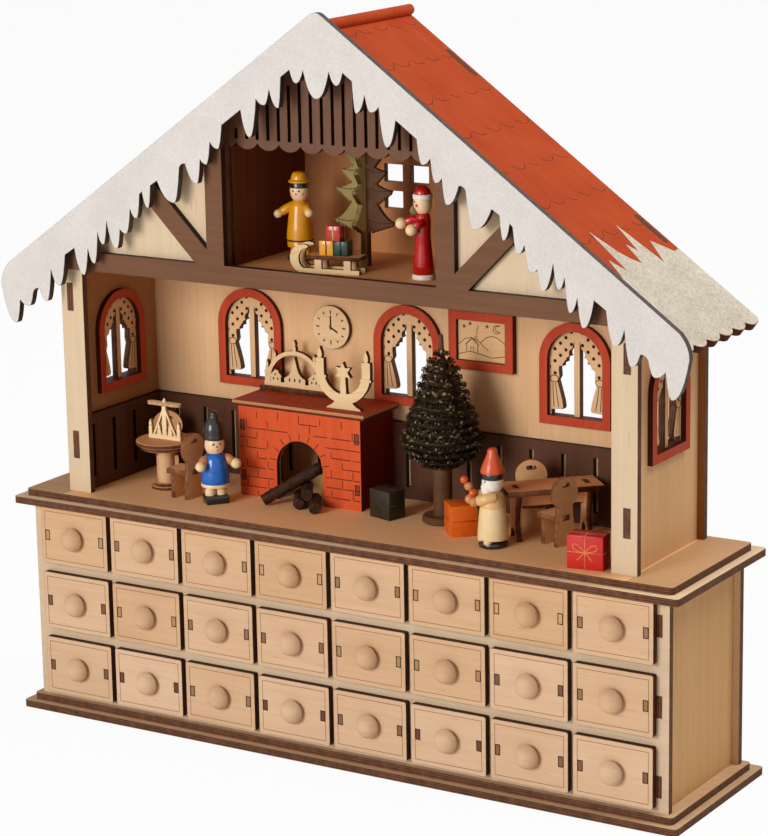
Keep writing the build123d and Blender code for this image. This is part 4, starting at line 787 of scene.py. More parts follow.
# Brick joints of the fireplace: short lines burnt into its front, with a ring of wedge stones
# round the arch. They break off as the laser skipped parts of them.
house_floor = 133.0
joint_line = 0.55
hearth_half = 41.0
joint_end = hearth_half - 0.4
arch_radius, arch_spring = 15.6, 20.4
arch_stone, arch_margin, wedge_stones = 5.6, 0.5, 9
brick_rise, brick_length, brick_rows = 5.75, 14.3, 10
broken_rows = 7


def beside_arch(u, v):
    reach = sqrt(u * u + max(v - arch_spring, 0) ** 2)
    return reach > arch_radius + (arch_stone if v > arch_spring else arch_margin)


def upright_joint(row, count, start):
    """The joint at one end of a brick, where it is beside the arch and wasn't skipped."""
    level = row * brick_rise
    joint = [(start, level + 0.5), (start, level + brick_rise - 0.4 - 1.5 * chance(row, count))]
    kept = abs(start) < hearth_half - 1.5 and chance(count, row) > 0.12
    return [joint] if kept and all(beside_arch(*end) for end in joint) else []


def level_joint(row, count, start):
    """The joint under one brick, in four pieces, of which the arch takes some."""
    skip = 0.6 if row > broken_rows else 0.02 if start > 0 else 0.18
    if not row or chance(count + 7, row) <= skip:
        return []
    length = brick_length * (0.82 + 0.18 * chance(row, count, 5))
    pieces = []
    for piece in range(4):
        ends = [max(-joint_end, min(joint_end, start + length * (piece + k) / 4)) for k in (0, 1)]
        if ends[1] - ends[0] > 0.5 and all(beside_arch(end, row * brick_rise) for end in ends):
            pieces.append([(end, row * brick_rise) for end in ends])
    return pieces


joints = []
for row in range(brick_rows):
    for count in range(-4, 5):
        start = (count + row % 2 / 2) * brick_length
        joints += upright_joint(row, count, start) + level_joint(row, count, start)
for stone in range(wedge_stones):
    angle = pi * (stone + 0.5) / wedge_stones
    ends = (arch_radius + 0.6, arch_radius + 4.6)
    joints.append([(r * cos(angle), arch_spring + r * sin(angle)) for r in ends])
brick_char = char_line("brick_joint_brown", paint(84, 26, 13), paint(120, 40, 20), 200.0)
hearth_place = facing_front(hearth_middle, hearth_front, house_floor)
fit(score("brick_joints", joints, joint_line, brick_char, hearth_place), "brick_red")

# Firewood: round sticks with their dark bark on, sawn off straight, piled in the arch.
# One leans on the pile from the front left.
log_radius, log_length, log_rings, log_sides = 3.35, 22.0, 11, 14
log_rise = 3.4
bark_rough = 0.22
pile_turn, lean_turn = radians(32), radians(41)


def begin_edit(name):
    """Names the new primitive and opens it with all of it selected."""
    piece = bpy.context.object
    piece.name = name
    piece.data.name = name
    bpy.ops.object.mode_set(mode="EDIT")
    bpy.ops.mesh.select_all(action="SELECT")
    return piece


def end_edit(piece, place, stuff, angle):
    """Closes a piece, smooths its gentle edges, and gives it its finish and its place."""
    bpy.ops.object.mode_set(mode="OBJECT")
    bpy.ops.object.shade_smooth_by_angle(angle=radians(angle))
    piece.data.materials.append(stuff)
    piece.data.transform(place)
    return piece


def turn(name, outline, place, stuff, sides=24, angle=35):
    """A piece turned on the lathe: a disc drawn up level by level."""
    deselect()
    bpy.ops.mesh.primitive_circle_add(vertices=sides, radius=outline[0][0] * mm, fill_type="NGON")
    piece = begin_edit(name)
    bpy.ops.mesh.select_mode(type="FACE")
    bpy.ops.mesh.select_all(action="SELECT")
    bpy.ops.transform.translate(value=(0, 0, outline[0][1] * mm))
    for (radius, level), (next_radius, next_level) in zip(outline, outline[1:]):
        rise = (0, 0, (next_level - level) * mm)
        bpy.ops.mesh.extrude_region_move(TRANSFORM_OT_translate={"value": rise})
        if next_radius > 0:
            share = next_radius / radius
            bpy.ops.transform.resize(value=(share, share, 1), center_override=(0, 0, next_level * mm))
        else:
            bpy.ops.mesh.merge(type="CENTER")
    bpy.ops.mesh.select_all(action="SELECT")
    bpy.ops.mesh.normals_make_consistent(inside=False)
    return end_edit(piece, place, stuff, angle)


def bark_finish():
    stuff, tree, shader, spot = new_finish("log_bark")
    ridge = noise(tree, spot, evenly(420.0), 4.0, 0.65)
    patch = noise(tree, spot, evenly(120.0), 2.0)
    colour = mixed(tree, ramp(tree, ridge, 0.35, 0.7), paint(26, 15, 10), paint(78, 48, 31))
    colour = mixed(tree, ramp(tree, patch, 0.45, 0.7, 0.0, 0.5), colour, paint(58, 34, 24))
    finish_wood(tree, shader, colour, ridge, 0.45, 0.8, 0.6)
    return stuff


log_bark = bark_finish()


def aimed(direction):
    """Turns the axis of a lathe piece along a direction."""
    return Vector(direction).to_track_quat("Z", "Y").to_matrix().to_4x4()


def log(name, start, direction, length, seed):
    outline = [(0.5 * log_radius, 0.0), (0.94 * log_radius, 0.05)]
    for ring in range(log_rings + 1):
        level = 0.4 + (length - 0.8) * ring / log_rings
        outline.append((log_radius * (0.97 + 0.05 * chance(seed, ring)), level))
    outline += [(0.94 * log_radius, length - 0.05), (0.5 * log_radius, length)]
    piece = turn(name, outline, Matrix(), log_bark, log_sides, 60)
    bpy.ops.object.mode_set(mode="EDIT")
    bpy.ops.mesh.select_all(action="SELECT")
    bpy.ops.transform.vertex_random(offset=bark_rough * mm, uniform=0.4, normal=0.6, seed=seed)
    bpy.ops.object.mode_set(mode="OBJECT")
    piece.data.transform(Matrix.Translation(Vector(start) * mm) @ aimed(direction))
    fit(piece, "bark_brown", "firewood")


backwards = (-sin(pile_turn), cos(pile_turn), 0.0)
log("log_left", (-42.0, -12.1, house_floor + log_rise), backwards, log_length, 3)
log("log_right", (-29.3, -15.6, house_floor + log_rise), backwards, log_length, 5)
log("log_top", (-37.77, -10.46, house_floor + log_rise + 5.27), backwards, log_length, 8)
log("log_leaning", (-65.2, -14.2, house_floor + 3.13), (cos(lean_turn), sin(lean_turn), 0.522), 38.3, 12)

# Candle arch on the mantel: a thin birch board sawn to an arch over a church and two houses,
# with candles along the arch. It stands on a brown plank that lies on the mantel.
mantel_top = 189.0
arch_x, arch_y, plank_x = -71.7, 32.5, -67.9
plank_board = 2.5
candle_half = 1.1


def thin_birch(name, pale, deep):
    stuff, tree, shader, spot = new_finish(name)
    colour, streak = wood_figure(tree, spot, "X", pale, deep)
    finish_wood(tree, shader, colour, streak)
    return stuff


def cut_edge(name, pale, deep):
    """The scorched edge of a thin board."""
    stuff, tree, shader, spot = new_finish(name)
    smoke = noise(tree, spot, evenly(330.0))
    finish_wood(tree, shader, mixed(tree, ramp(tree, smoke, 0.3, 0.7), pale, deep), smoke, 0.6, 0.85)
    return stuff


def arc(x, z, radius_x, radius_z, first, last, steps):
    """Points along an arc, with its angles in degrees."""
    turns = [radians(first + (last - first) * k / steps) for k in range(steps + 1)]
    return rounded(x, z, radius_x, radius_z, turns)


def panel(x, z, width, height):
    """A rectangle about x, upwards from z."""
    return [(x - width / 2, z), (x + width / 2, z), (x + width / 2, z + height), (x - width / 2, z + height)]


def mirrored(half):
    """An outline from its right half, drawn from the foot up."""
    return half + [(-u, v) for u, v in half[::-1] if u]


def shifted(outlines, x):
    return [[(u + x, v) for u, v in points] for points in outlines]


def candle(x, z, height):
    """A candle with its flame, in outline."""
    flame = [(0.5, 0.3), (0.95, 1.6), (0.0, 4.2)]
    half = [(candle_half, 0.0), (candle_half, height)] + [(u, height + v) for u, v in flame]
    return [(u + x, v + z) for u, v in mirrored(half)]


carving_birch = thin_birch("carving_birch", paint(232, 202, 158), paint(214, 180, 134))
carving_edge = cut_edge("carving_edge", paint(58, 34, 22), paint(104, 66, 42))


def carve(name, outlines, thickness, place, stuff=carving_birch):
    """A sawn piece of the candle holders. Each is a hair thinner than the one that it crosses."""
    fit(saw(name, outlines, thickness, stuff, place, carving_edge), "birch_candles", "mantel_candles")


plank_brown = thin_birch("plank_brown", paint(150, 88, 56), paint(120, 66, 40))
plank_place = lying(plank_x, arch_y, mantel_top + plank_board / 2)
arch_place = facing_front(arch_x, arch_y, mantel_top + plank_board)
arch_band = arc(0, 2.4, 19.5, 19.3, 0, 180, 28) + arc(0, 2.4, 17.1, 16.9, 180, 0, 28)
church_half = [(7.2, 2.3), (7.2, 5.4), (5.6, 6.1), (3.9, 7.3), (2.5, 9.4), (1.5, 12.4), (0.7, 15.6),
               (0.0, 18.1)]
church = [mirrored(church_half)] + [panel(x, 3.5, 1.0, 1.9) for x in (-3.5, 0.0, 3.5)]
cottage = [[(-3.6, 2.3), (3.6, 2.3), (3.6, 5.8), (4.5, 5.8), (1.9, 8.2), (1.9, 9.4), (1.0, 9.4), (1.0, 9.0),
            (0.0, 9.8), (-4.5, 5.8), (-3.6, 5.8)]]
cottage += [panel(-1.5, 3.6, 1.0, 1.4), panel(1.5, 3.6, 1.0, 1.4), panel(-0.2, 6.3, 0.9, 1.1)]
pedestal = mirrored([(1.6, 0.2), (1.6, 7.4), (2.0, 7.4), (2.0, 8.4)])
arch_candles = ((-19.0, 8.2, 2.6), (-13.5, 14.4, 2.2), (0.0, 21.4, 2.6), (13.5, 14.4, 2.2), (19.0, 8.2, 2.6))
carve("candle_plank", [panel(0.0, -4.25, 53.0, 8.5)], plank_board, plank_place, plank_brown)
carve("candle_arch_band", [arch_band], 3.0, arch_place)
carve("candle_arch_base", [panel(0.0, 0.0, 42.0, 2.5)], 2.96, arch_place)
carve("candle_arch_church", church, 2.9, arch_place)
for tag, side in both_sides:
    carve("candle_arch_house_" + tag, shifted(cottage, side * 13.2), 2.84, arch_place)
    carve("arch_pedestal_" + tag, shifted([pedestal], side * 19.0), 2.8, arch_place)
for count, (x, foot, height) in enumerate(arch_candles):
    carve(f"arch_candle_{count}", [candle(x, foot, height)], 2.74, arch_place)

# Crescent candle holder: a thin birch board sawn to a cup on a flared foot, with two candles
# and a six-pointed star on a post. It stands free at the front of the mantel.
crescent_place = facing_front(-24.2, 9.85, mantel_top)
cup_middle, cup_outer, cup_inner, cup_top = 21.3, 18.0, 12.6, 28.3
star_tip, star_notch = 5.8, 2.9
cup = arc(0, cup_middle, cup_outer, cup_outer, 180, 360, 30) + [(cup_outer, cup_top), (cup_inner, cup_top)]
cup += arc(0, cup_middle, cup_inner, cup_inner, 360, 180, 30)
cup += [(-cup_inner, cup_top), (-cup_outer, cup_top)]
flare = mirrored([(11.4, 0.0), (11.0, 0.8), (8.0, 2.2), (6.2, 3.8), (5.6, 5.8)])
star = []
for point in range(12):
    radius = star_notch if point % 2 else star_tip
    star.append((radius * sin(pi * point / 6), cup_middle + radius * cos(pi * point / 6)))
post = mirrored([(2.2, 5.0), (1.5, cup_middle - 2.0)])
flame = mirrored([(1.0, 28.2), (1.5, 30.0), (1.2, 31.8), (0.0, 34.8)])
carve("crescent_cup", [cup], 3.0, crescent_place)
carve("crescent_foot", [flare], 2.94, crescent_place)
carve("crescent_post", [post], 2.88, crescent_place)
carve("crescent_star", [star], 2.82, crescent_place)
for tag, side in both_sides:
    carve("crescent_tray_" + tag, [panel(side * 14.9, 17.2, 7.2, 1.4)], 2.76, crescent_place)
    carve("crescent_flame_" + tag, shifted([flame], side * 15.3), 2.7, crescent_place)

# Spiral tree: a turned post on a round foot, with rings of thin shavings that curl up at their tips.
# The shavings are stained dark green, and pale flecks on them are painted highlights.
tree_place = lying(41.0, 6.8, house_floor)
tree_foot = [(11.2, 0.0), (11.6, 0.4), (11.6, 3.2), (10.8, 4.0)]
tree_trunk = [(5.4, 4.0), (5.3, 30.0), (2.4, 60.0), (1.6, 97.0), (1.3, 105.2), (0.7, 106.0)]
ring_radii = (11.9, 18.6, 21.9, 23.8, 21.4, 20.8, 20.0, 18.1, 15.7, 15.4, 13.5, 11.9, 10.7, 7.9, 4.8)
ring_first, ring_pitch = 32.4, 4.45
gap_start = 1.2
shaving_width, shaving_wall, shaving_pitch = 1.1, 0.25, 1.6
shaving_run = [(-6.0, 1.6), (-0.55, 0.35), (-0.2, -0.35)] + arc(-1.5, 1.2, 1.5, 1.5, -60, 210, 6)


def shaving_green():
    """Dark stain, painted near black in the gaps between the rings as painted shade, with pale flecks as
    painted highlights.
    """
    stuff, tree, shader, spot = new_finish("shaving_green")
    fleck = noise(tree, spot, (520.0, 520.0, 900.0), 3.0, 0.6)
    colour = mixed(tree, ramp(tree, fleck, 0.45, 0.75), paint(42, 31, 20), paint(84, 66, 42))
    # Painted highlights: pale flecks stand in for the light that the curl tips catch.
    bare = over(tree, speckles(tree, spot, 640.0), 0.92)
    colour = mixed(tree, bare, colour, paint(178, 152, 114))
    # Painted shade: the low part of each ring is painted near black, as the shade in the gaps between the
    # rings.
    height = less(tree, axes(tree, spot)[2], (house_floor + ring_first - gap_start) * mm)
    rise = maths(tree, "FLOORED_MODULO", height, ring_pitch * mm)
    colour = mixed(tree, ramp(tree, rise, 0.2 * mm, 2.8 * mm, 1.0, 0.0), colour, paint(14, 11, 8))
    finish_wood(tree, shader, colour, fleck, 0.35, 0.65, 0.3)
    return stuff


def one_shaving():
    """A thin curl with the thickness of its wood."""
    line = draw("shaving", "3D", [shaving_run], False)
    line.extrude = shaving_width * mm / 2
    piece = to_mesh("shaving", line)
    wall = piece.modifiers.new("wall", "SOLIDIFY")
    wall.thickness = shaving_wall * mm
    wall.offset = 0.0
    bpy.ops.object.modifier_apply(modifier="wall")
    return piece


def shaving_place(ring, radius, step, count):
    """A shaving's place on its ring, each a little off in size, reach, height and twist."""
    size = 0.42 + 0.30 * chance(ring, step)
    reach = radius + 0.3 - 1.5 * chance(ring, step, 7) ** 2
    twist = Matrix.Rotation(radians(70 * (chance(step, ring, 9) - 0.5)), 4, "X")
    angle = 2 * pi * (step + 0.5 * (ring % 2) + 0.5 * chance(step, ring)) / count
    lift = ring_first + ring * ring_pitch + 0.7 * (chance(step, ring, 3) - 0.5)
    around = Matrix.Translation((0, 0, lift * mm)) @ Matrix.Rotation(angle, 4, "Z")
    outward = Matrix.Translation((reach * mm, 0, 0)) @ twist @ stand_up
    return tree_place @ around @ outward @ Matrix.Scale(size, 4)


def all_shavings():
    """The shavings of all rings, joined."""
    shaving = one_shaving()
    copies = []
    for ring, radius in enumerate(ring_radii):
        count = int(2 * pi * radius / shaving_pitch)
        for step in range(count):
            copy = bpy.data.objects.new("shaving_copy", shaving.data.copy())
            bpy.context.collection.objects.link(copy)
            copy.data.transform(shaving_place(ring, radius, step, count))
            copies.append(copy)
    bpy.data.objects.remove(shaving)
    deselect()
    for copy in copies:
        copy.select_set(True)
    bpy.context.view_layer.objects.active = copies[0]
    bpy.ops.object.join()
    piece = bpy.context.object
    piece.name = "tree_shavings"
    piece.data.materials.append(tree_green)
    return piece


tree_green = shaving_green()
# The trunk and its foot are painted dark brown, as painted shade under the shavings.
trunk_painted_shade_brown = thin_birch("trunk_painted_shade_brown", paint(104, 72, 46), paint(78, 51, 31))
ring_cores = [(2.0, 30.2)]
for ring, radius in enumerate(ring_radii):
    level = ring_first + ring * ring_pitch
    neck = max(radius - 6.5, 1.8)
    ring_cores += [(radius - 2.2, level - 0.6), (radius - 1.6, level + 0.4)]
    ring_cores += [(neck, level + 1.5), (neck, level + 3.0)]
fit(turn("tree_foot", tree_foot, tree_place, trunk_painted_shade_brown, 36), "tree_green", "spiral_tree")
fit(turn("tree_trunk", tree_trunk, tree_place, trunk_painted_shade_brown, 18), "tree_green", "spiral_tree")
fit(all_shavings(), "tree_green", "spiral_tree")
fit(turn("tree_ring_cores", ring_cores, tree_place, tree_green, 40, 20), "tree_green", "spiral_tree")

# Round table: a turned top of two discs, a column and a stepped foot, of stained birch.
# They are glued on each other, and the rims of the top and the foot are dark.
round_spot = (-137.5, -6.5)
round_place = lying(*round_spot, house_floor)
round_height = 29.0
round_top = [(14.3, 24.0), (14.7, 24.3), (14.7, 26.5), (16.9, 26.6), (17.2, 26.9), (17.2, 28.7),
             (16.9, round_height)]
round_column = [(5.0, 4.0), (4.95, 6.0), (4.9, 14.0), (4.95, 22.0), (5.0, 24.0)]
round_foot = [(8.7, 0.0), (9.0, 0.3), (9.0, 1.8), (8.8, 2.0), (7.0, 2.0), (7.0, 3.7), (6.7, 4.0)]
table_stain = thin_birch("table_stain", paint(226, 166, 116), paint(200, 138, 92))
table_edge = cut_edge("table_edge", paint(74, 42, 26), paint(112, 70, 44))
column_birch = thin_birch("column_birch", paint(222, 184, 140), paint(198, 156, 112))


def two_tone(piece, edge):
    """Gives the upright faces of a piece a second finish."""
    piece.data.materials.append(edge)
    for side in piece.data.polygons:
        side.material_index = 1 if abs(side.normal.z) < 0.6 else 0
    return piece


top_disc = turn("round_table_top", round_top, round_place, table_stain, 48)
column = turn("round_table_column", round_column, round_place, column_birch, 28)
foot_disc = turn("round_table_foot", round_foot, round_place, table_stain, 40)
fit(two_tone(top_disc, table_edge), "brown_tables", "tables")
fit(column, "brown_tables", "tables")
fit(two_tone(foot_disc, table_edge), "brown_tables", "tables")

# Long table: a plywood top with the legs' tabs through it, two curved legs and an apron between them.
# All are sawn from thin stained board, and their cut edges are dark.
thin_board = 3.0
long_spot, long_turn = (107.2, 9.963), 45.0
leg_reach, leg_height = 20.0, 26.0
leg_side = [(8.2, 0.0), (7.8, 1.6), (6.0, 5.0), (5.1, 9.0), (5.1, 15.0), (5.8, 19.0), (7.4, 23.6),
            (8.2, leg_height)]
long_leg = mirrored([(0.0, 6.4), (3.2, 4.6), (4.6, 0.0)] + leg_side + [(4.0, leg_height), (4.0, 28.9)])
long_top = [panel(0.0, -11.25, 54.0, 22.5)] + [panel(side * leg_reach, -4.1, 3.2, 8.2) for side in (-1, 1)]
apron = panel(0.0, 18.0, 37.0, 8.0)


def about(spot, turn_by, x, y):
    """A place beside a turned piece, in its own directions."""
    a = radians(turn_by)
    return spot[0] + x * cos(a) - y * sin(a), spot[1] + x * sin(a) + y * cos(a)


def table_board(name, outlines, place):
    piece = saw("long_table_" + name, outlines, thin_board, table_stain, place, table_edge)
    fit(piece, "brown_tables", "tables")


table_board("top", long_top, lying(*long_spot, house_floor + leg_height + thin_board / 2, long_turn))
for tag, side in both_sides:
    leg_spot = about(long_spot, long_turn, side * leg_reach, 0.0)
    table_board("leg_" + tag, [long_leg], facing_front(*leg_spot, house_floor, long_turn + 90))
table_board("apron", [apron], facing_front(*long_spot, house_floor, long_turn))

# Table pyramid: a small birch frame sawn with two candles and two firs between its bars,
# with a rotor bar and a turned tip on top. It stands on the round table.
pyramid_foot = house_floor + round_height
pyramid_place = facing_front(*round_spot, pyramid_foot)
pyramid_height = 20.0
rotor_board, rotor_level = 1.8, 20.9
pyramid_frame = [mirrored([(11.2, 0.0), (11.2, 2.3), (8.1, 2.3), (1.2, 17.6), (1.2, pyramid_height)])]
pyramid_frame += [[(side * 1.3, 2.3), (side * 7.0, 2.3), (side * 1.3, 14.9)] for side in (-1, 1)]
small_fir = mirrored([(2.0, 2.1), (0.9, 4.2), (1.5, 4.2), (0.6, 6.2), (1.0, 6.2), (0.0, 8.8)])
spike = [(1.2, pyramid_height + 1.7), (1.15, 22.4), (0.8, 23.2), (0.3, 24.3)]
pyramid_birch = thin_birch("pyramid_birch", paint(250, 226, 182), paint(236, 206, 158))
pyramid_edge = cut_edge("pyramid_edge", paint(216, 180, 134), paint(172, 130, 88))


def round_bar(reach, z, radius, steps):
    """A bar with round ends, in outline."""
    return arc(reach, z, radius, radius, -90, 90, steps) + arc(-reach, z, radius, radius, 90, 270, steps)


def pyramid_board(name, outlines, thickness, place):
    piece = saw("pyramid_" + name, outlines, thickness, pyramid_birch, place, pyramid_edge)
    fit(piece, "birch_pyramid", "table_pyramid")


pyramid_board("frame", pyramid_frame, 2.0, pyramid_place)
for tag, side in both_sides:
    pyramid_board("candle_" + tag, [candle(side * 9.95, 2.0, 4.8)], 1.94, pyramid_place)
    pyramid_board("fir_" + tag, shifted([small_fir], side * 3.9), 1.88, pyramid_place)
rotor_place = lying(*round_spot, pyramid_foot + rotor_level)
pyramid_board("rotor", [round_bar(9.5, 0.0, 2.0, 6)], rotor_board, rotor_place)
spike_tip = turn("pyramid_spike", spike, lying(*round_spot, pyramid_foot), pyramid_birch, 14)
fit(spike_tip, "birch_pyramid", "table_pyramid")

# Chairs: four of the same stained plywood, each a back with a grip slot, a seat tabbed through it
# and a front leg board. They stand at the two tables.
chair_half = 6.5
seat_level, seat_depth = 15.5, 12.7
chair_side = [(chair_half, 0.0), (6.1, 6.0), (5.6, 12.0), (5.1, 18.0), (5.0, 21.4), (5.5, 22.6)]
chair_back = [(-u, v) for u, v in chair_side[::-1]] + chair_side + arc(0, 29.2, 8.8, 8.8, -46, 226, 28)
chair_holes = [round_bar(1.8, 33.6, 1.2, 5), panel(0.0, 13.9, 5.2, 3.2)]
chair_seat = mirrored([(2.5, -2.95), (2.5, 0.0), (chair_half, 0.0), (chair_half, seat_depth)])
chair_leg = panel(0.0, 0.0, 2 * chair_half, seat_level - thin_board / 2)
chair_stain = thin_birch("chair_stain", paint(238, 188, 136), paint(212, 158, 108))
chair_edge = cut_edge("chair_edge", paint(150, 100, 64), paint(104, 62, 38))
chair_spots = ((-112.3, -17.5, 86.0), (-155.5, 20.5, 212.0), (121.307, -3.154, 73.0), (89.77, 19.757, 215.0))


def chair_board(name, outlines, place):
    piece = saw("chair_" + name, outlines, thin_board, chair_stain, place, chair_edge)
    fit(piece, "brown_chairs", "chairs")


for number, (x, y, turn_by) in enumerate(chair_spots):
    back_spot = about((x, y), turn_by, 0.0, -thin_board / 2)
    leg_spot = about((x, y), turn_by, 0.0, 8.2)
    chair_board(f"{number}_back", [chair_back] + chair_holes, facing_front(*back_spot, house_floor, turn_by))
    chair_board(f"{number}_seat", [chair_seat], lying(x, y, house_floor + seat_level, turn_by))
    chair_board(f"{number}_leg", [chair_leg], facing_front(*leg_spot, house_floor, turn_by))

# Presents: wooden blocks painted dark green, orange and red, with their ribbons drawn on.
# They stand on the room's floor, each with a bow on its front.
ribbon_line, ribbon_margin = 0.6, 0.5
bow_margin, bow_size = 1.2, 19.0
bow_loop = [(0, 0), (1.6, 2.2), (3.8, 4.4), (6.0, 5.0), (7.0, 3.6), (6.2, 1.8), (3.6, 0.6), (0, 0)]
bow_tail = [(0, 0), (1.8, -1.6), (3.0, -3.4), (4.4, -4.8)]


def lacquer(name, pale, deep, roughness=0.35, coat=0.25):
    """Brushed paint, a little uneven in tone and gloss."""
    stuff, tree, shader, spot = new_finish(name)
    brush = noise(tree, spot, (260.0, 260.0, 110.0), 4.0, 0.6)
    cloud = noise(tree, spot, evenly(70.0), 2.0)
    colour = mixed(tree, two_noises(tree, brush, 0.7, 0.5, cloud, 0.5), pale, deep)
    finish_wood(tree, shader, colour, brush, roughness - 0.08, roughness + 0.12, 0.08, 0.3)
    shader.inputs["Coat Weight"].default_value = coat
    return stuff


def block(name, size, place, stuff, edge=0.5):
    """A block with eased edges, standing on its place."""
    deselect()
    bpy.ops.mesh.primitive_cube_add(size=1.0)
    piece = begin_edit(name)
    bpy.ops.transform.resize(value=[length * mm for length in size])
    bpy.ops.transform.translate(value=(0, 0, size[2] / 2 * mm))
    bpy.ops.mesh.bevel(offset=edge * mm, segments=2, affect="EDGES")
    return end_edit(piece, place, stuff, 30)


def cross_line(width, height):
    """Two ribbons that cross in the middle of a face."""
    return [[(-width / 2, 0), (width / 2, 0)], [(0, -height / 2), (0, height / 2)]]


def bow(width, height):
    """A ribbon cross with two loops and two tails."""
    runs = cross_line(width, height)
    for side in (-1, 1):
        for run in (bow_loop, bow_tail):
            runs.append([(side * u * width / bow_size, v * height / bow_size) for u, v in run])
    return runs


presents = (
    ("green", (16.3, 12.2, 16.4), (9.1, -0.2), -16.0,
     (paint(48, 38, 20), paint(36, 28, 13)), (paint(34, 36, 24), paint(48, 52, 34))),
    ("orange", (16.1, 14.9, 17.4), (61.9, -9.5), -45.0,
     (paint(226, 106, 20), paint(206, 86, 10)), (paint(168, 66, 16), paint(186, 78, 22))),
    ("red", (20.3, 11.6, 18.4), (153.3, -33.7), 8.0,
     (paint(200, 36, 26), paint(182, 24, 18)), (paint(232, 150, 96), paint(206, 116, 70))),
)
for tag, size, spot, turn_by, paper, ribbon in presents:
    wrap = lacquer("present_" + tag, *paper, 0.5, 0.1)
    ribbon_paint = lacquer("ribbon_" + tag, *ribbon, 0.5, 0.1)
    box = block("present_" + tag, size, lying(*spot, house_floor, turn_by), wrap)
    fit(box, "painted_presents", "presents")
    width, depth, height = size
    middle = house_floor + height / 2
    front_spot = about(spot, turn_by, 0.0, -depth / 2)
    right_spot = about(spot, turn_by, width / 2, 0.0)
    top_lines = cross_line(width - 2 * ribbon_margin, depth - 2 * ribbon_margin)
    side_lines = cross_line(depth - 2 * ribbon_margin, 0.0)[:1]
    lines = (
        ("front", bow(width - bow_margin, height - bow_margin), facing_front(*front_spot, middle, turn_by)),
        ("side", side_lines, facing_front(*right_spot, middle, turn_by + 90)),
        ("top", top_lines, lying(*spot, house_floor + height, turn_by)),
    )
    for face, runs, place in lines:
        fit(score(f"ribbon_{tag}_{face}", runs, ribbon_line, ribbon_paint, place), "painted_presents")

# Turned figures: each is a painted lathe piece with a ball head, a hat and dowel arms with ball hands.
# Eyes, mouth and cheeks are small painted spots.
left_first = (("_left", -1), ("_right", 1))
body_sides, figure_smooth = 28, 50
skin = lacquer("figure_skin", paint(240, 208, 172), paint(226, 186, 146), 0.4, 0.2)
cream_paint = lacquer("figure_cream", paint(242, 216, 170), paint(226, 192, 140), 0.4, 0.2)
black_paint = lacquer("figure_black", paint(40, 36, 36), paint(24, 21, 22), 0.28, 0.5)
blue_paint = lacquer("figure_blue", paint(4, 104, 200), paint(2, 86, 174), 0.28, 0.5)
tan_paint = lacquer("figure_tan", paint(206, 146, 92), paint(184, 120, 70), 0.4, 0.2)
yellow_paint = lacquer("figure_yellow", paint(228, 158, 24), paint(206, 134, 12), 0.3, 0.45)
red_paint = lacquer("figure_red", paint(192, 24, 20), paint(160, 12, 12), 0.22, 0.6)
white_paint = lacquer("figure_white", paint(240, 232, 222), paint(222, 210, 196), 0.5, 0.1)
orange_paint = lacquer("figure_orange", paint(218, 92, 40), paint(194, 70, 28), 0.35, 0.3)
mouth_red = lacquer("figure_mouth", paint(196, 84, 66), paint(172, 66, 50), 0.5, 0.1)
cheek_pink = lacquer("figure_cheek", paint(236, 168, 140), paint(230, 156, 126), 0.5, 0.1)


def ball(radius, level):
    turns = [radians(a) for a in (16, 38, 62, 90, 118, 142, 164)]
    return [(radius * sin(a), level - radius * cos(a)) for a in turns] + [(0, level + radius)]


class Figure:
    """Places the parts of one figure by shares of its height."""

    def __init__(self, coat, spot, turn_by, height):
        self.coat, self.height = coat, height
        self.place = lying(*spot, turn_by)

    def glue(self, piece):
        fit(piece, f"painted_{self.coat}_figure", f"figure_{self.coat}_coat")

    def lathe(self, name, outline, place, stuff, sides):
        self.glue(turn(f"{self.coat}_figure_{name}", outline, place, stuff, sides, figure_smooth))

    def part(self, name, shares, stuff):
        outline = [(u * self.height, v * self.height) for u, v in shares]
        self.lathe(name, outline, self.place, stuff, body_sides)

    def foot_block(self, size, edge):
        self.glue(block(f"{self.coat}_figure_foot", size, self.place, black_paint, edge))

    def pair(self, name, spot, outline, stuff, sides):
        """Two like pieces beside each other, in millimetres."""
        for tag, side in left_first:
            self.lathe(name + tag, outline, self.place @ lying(side * spot[0], *spot[1:]), stuff, sides)

    def rod(self, name, start, end, outline, stuff, sides=16):
        """A turned piece from one point towards another, with its outline in millimetres."""
        first, last = Vector(start) * self.height, Vector(end) * self.height
        place = self.place @ Matrix.Translation(first * mm) @ aimed(last - first)
        self.lathe(name, outline, place, stuff, sides)

    def arm(self, name, shoulder, hand, sleeve, hand_paint, thick=0.05, grip=0.057):
        reach = (Vector(hand) - Vector(shoulder)).length * self.height
        r = thick * self.height
        fist = grip * self.height
        tube = [(0.5 * r, -0.4 * r), (r, 0.2 * r), (1.06 * r, 0.5 * reach)]
        tube += [(0.98 * r, reach - 0.3 * r), (0.7 * r, reach)]
        self.rod(f"arm_{name}_sleeve", shoulder, hand, tube, sleeve)
        self.rod(f"arm_{name}_hand", shoulder, hand, ball(fist, reach + 0.55 * fist), hand_paint, 20)

    def spot(self, name, across, level, radius, size, stuff):
        """A small painted spot on the head, to the front."""
        out = Vector((across, -sqrt(max(radius ** 2 - across ** 2, 0.0)), level))
        away = Vector((out.x, out.y, 0.0)).normalized() * 0.05
        rim = size * self.height
        lens = [(0.55 * rim, -0.6), (rim, -0.12), (0.8 * rim, 0.12), (0.3 * rim, 0.24)]
        self.rod(name, out, out + away, lens, stuff, 12)

    def face(self, radius, *spots):
        """Painted spots: one in the middle of the face, or one on each side of it."""
        for name, across, level, size, stuff in spots:
            for tag, side in left_first if across else (("", 0),):
                self.spot(name + tag, side * across, level, radius, size, stuff)


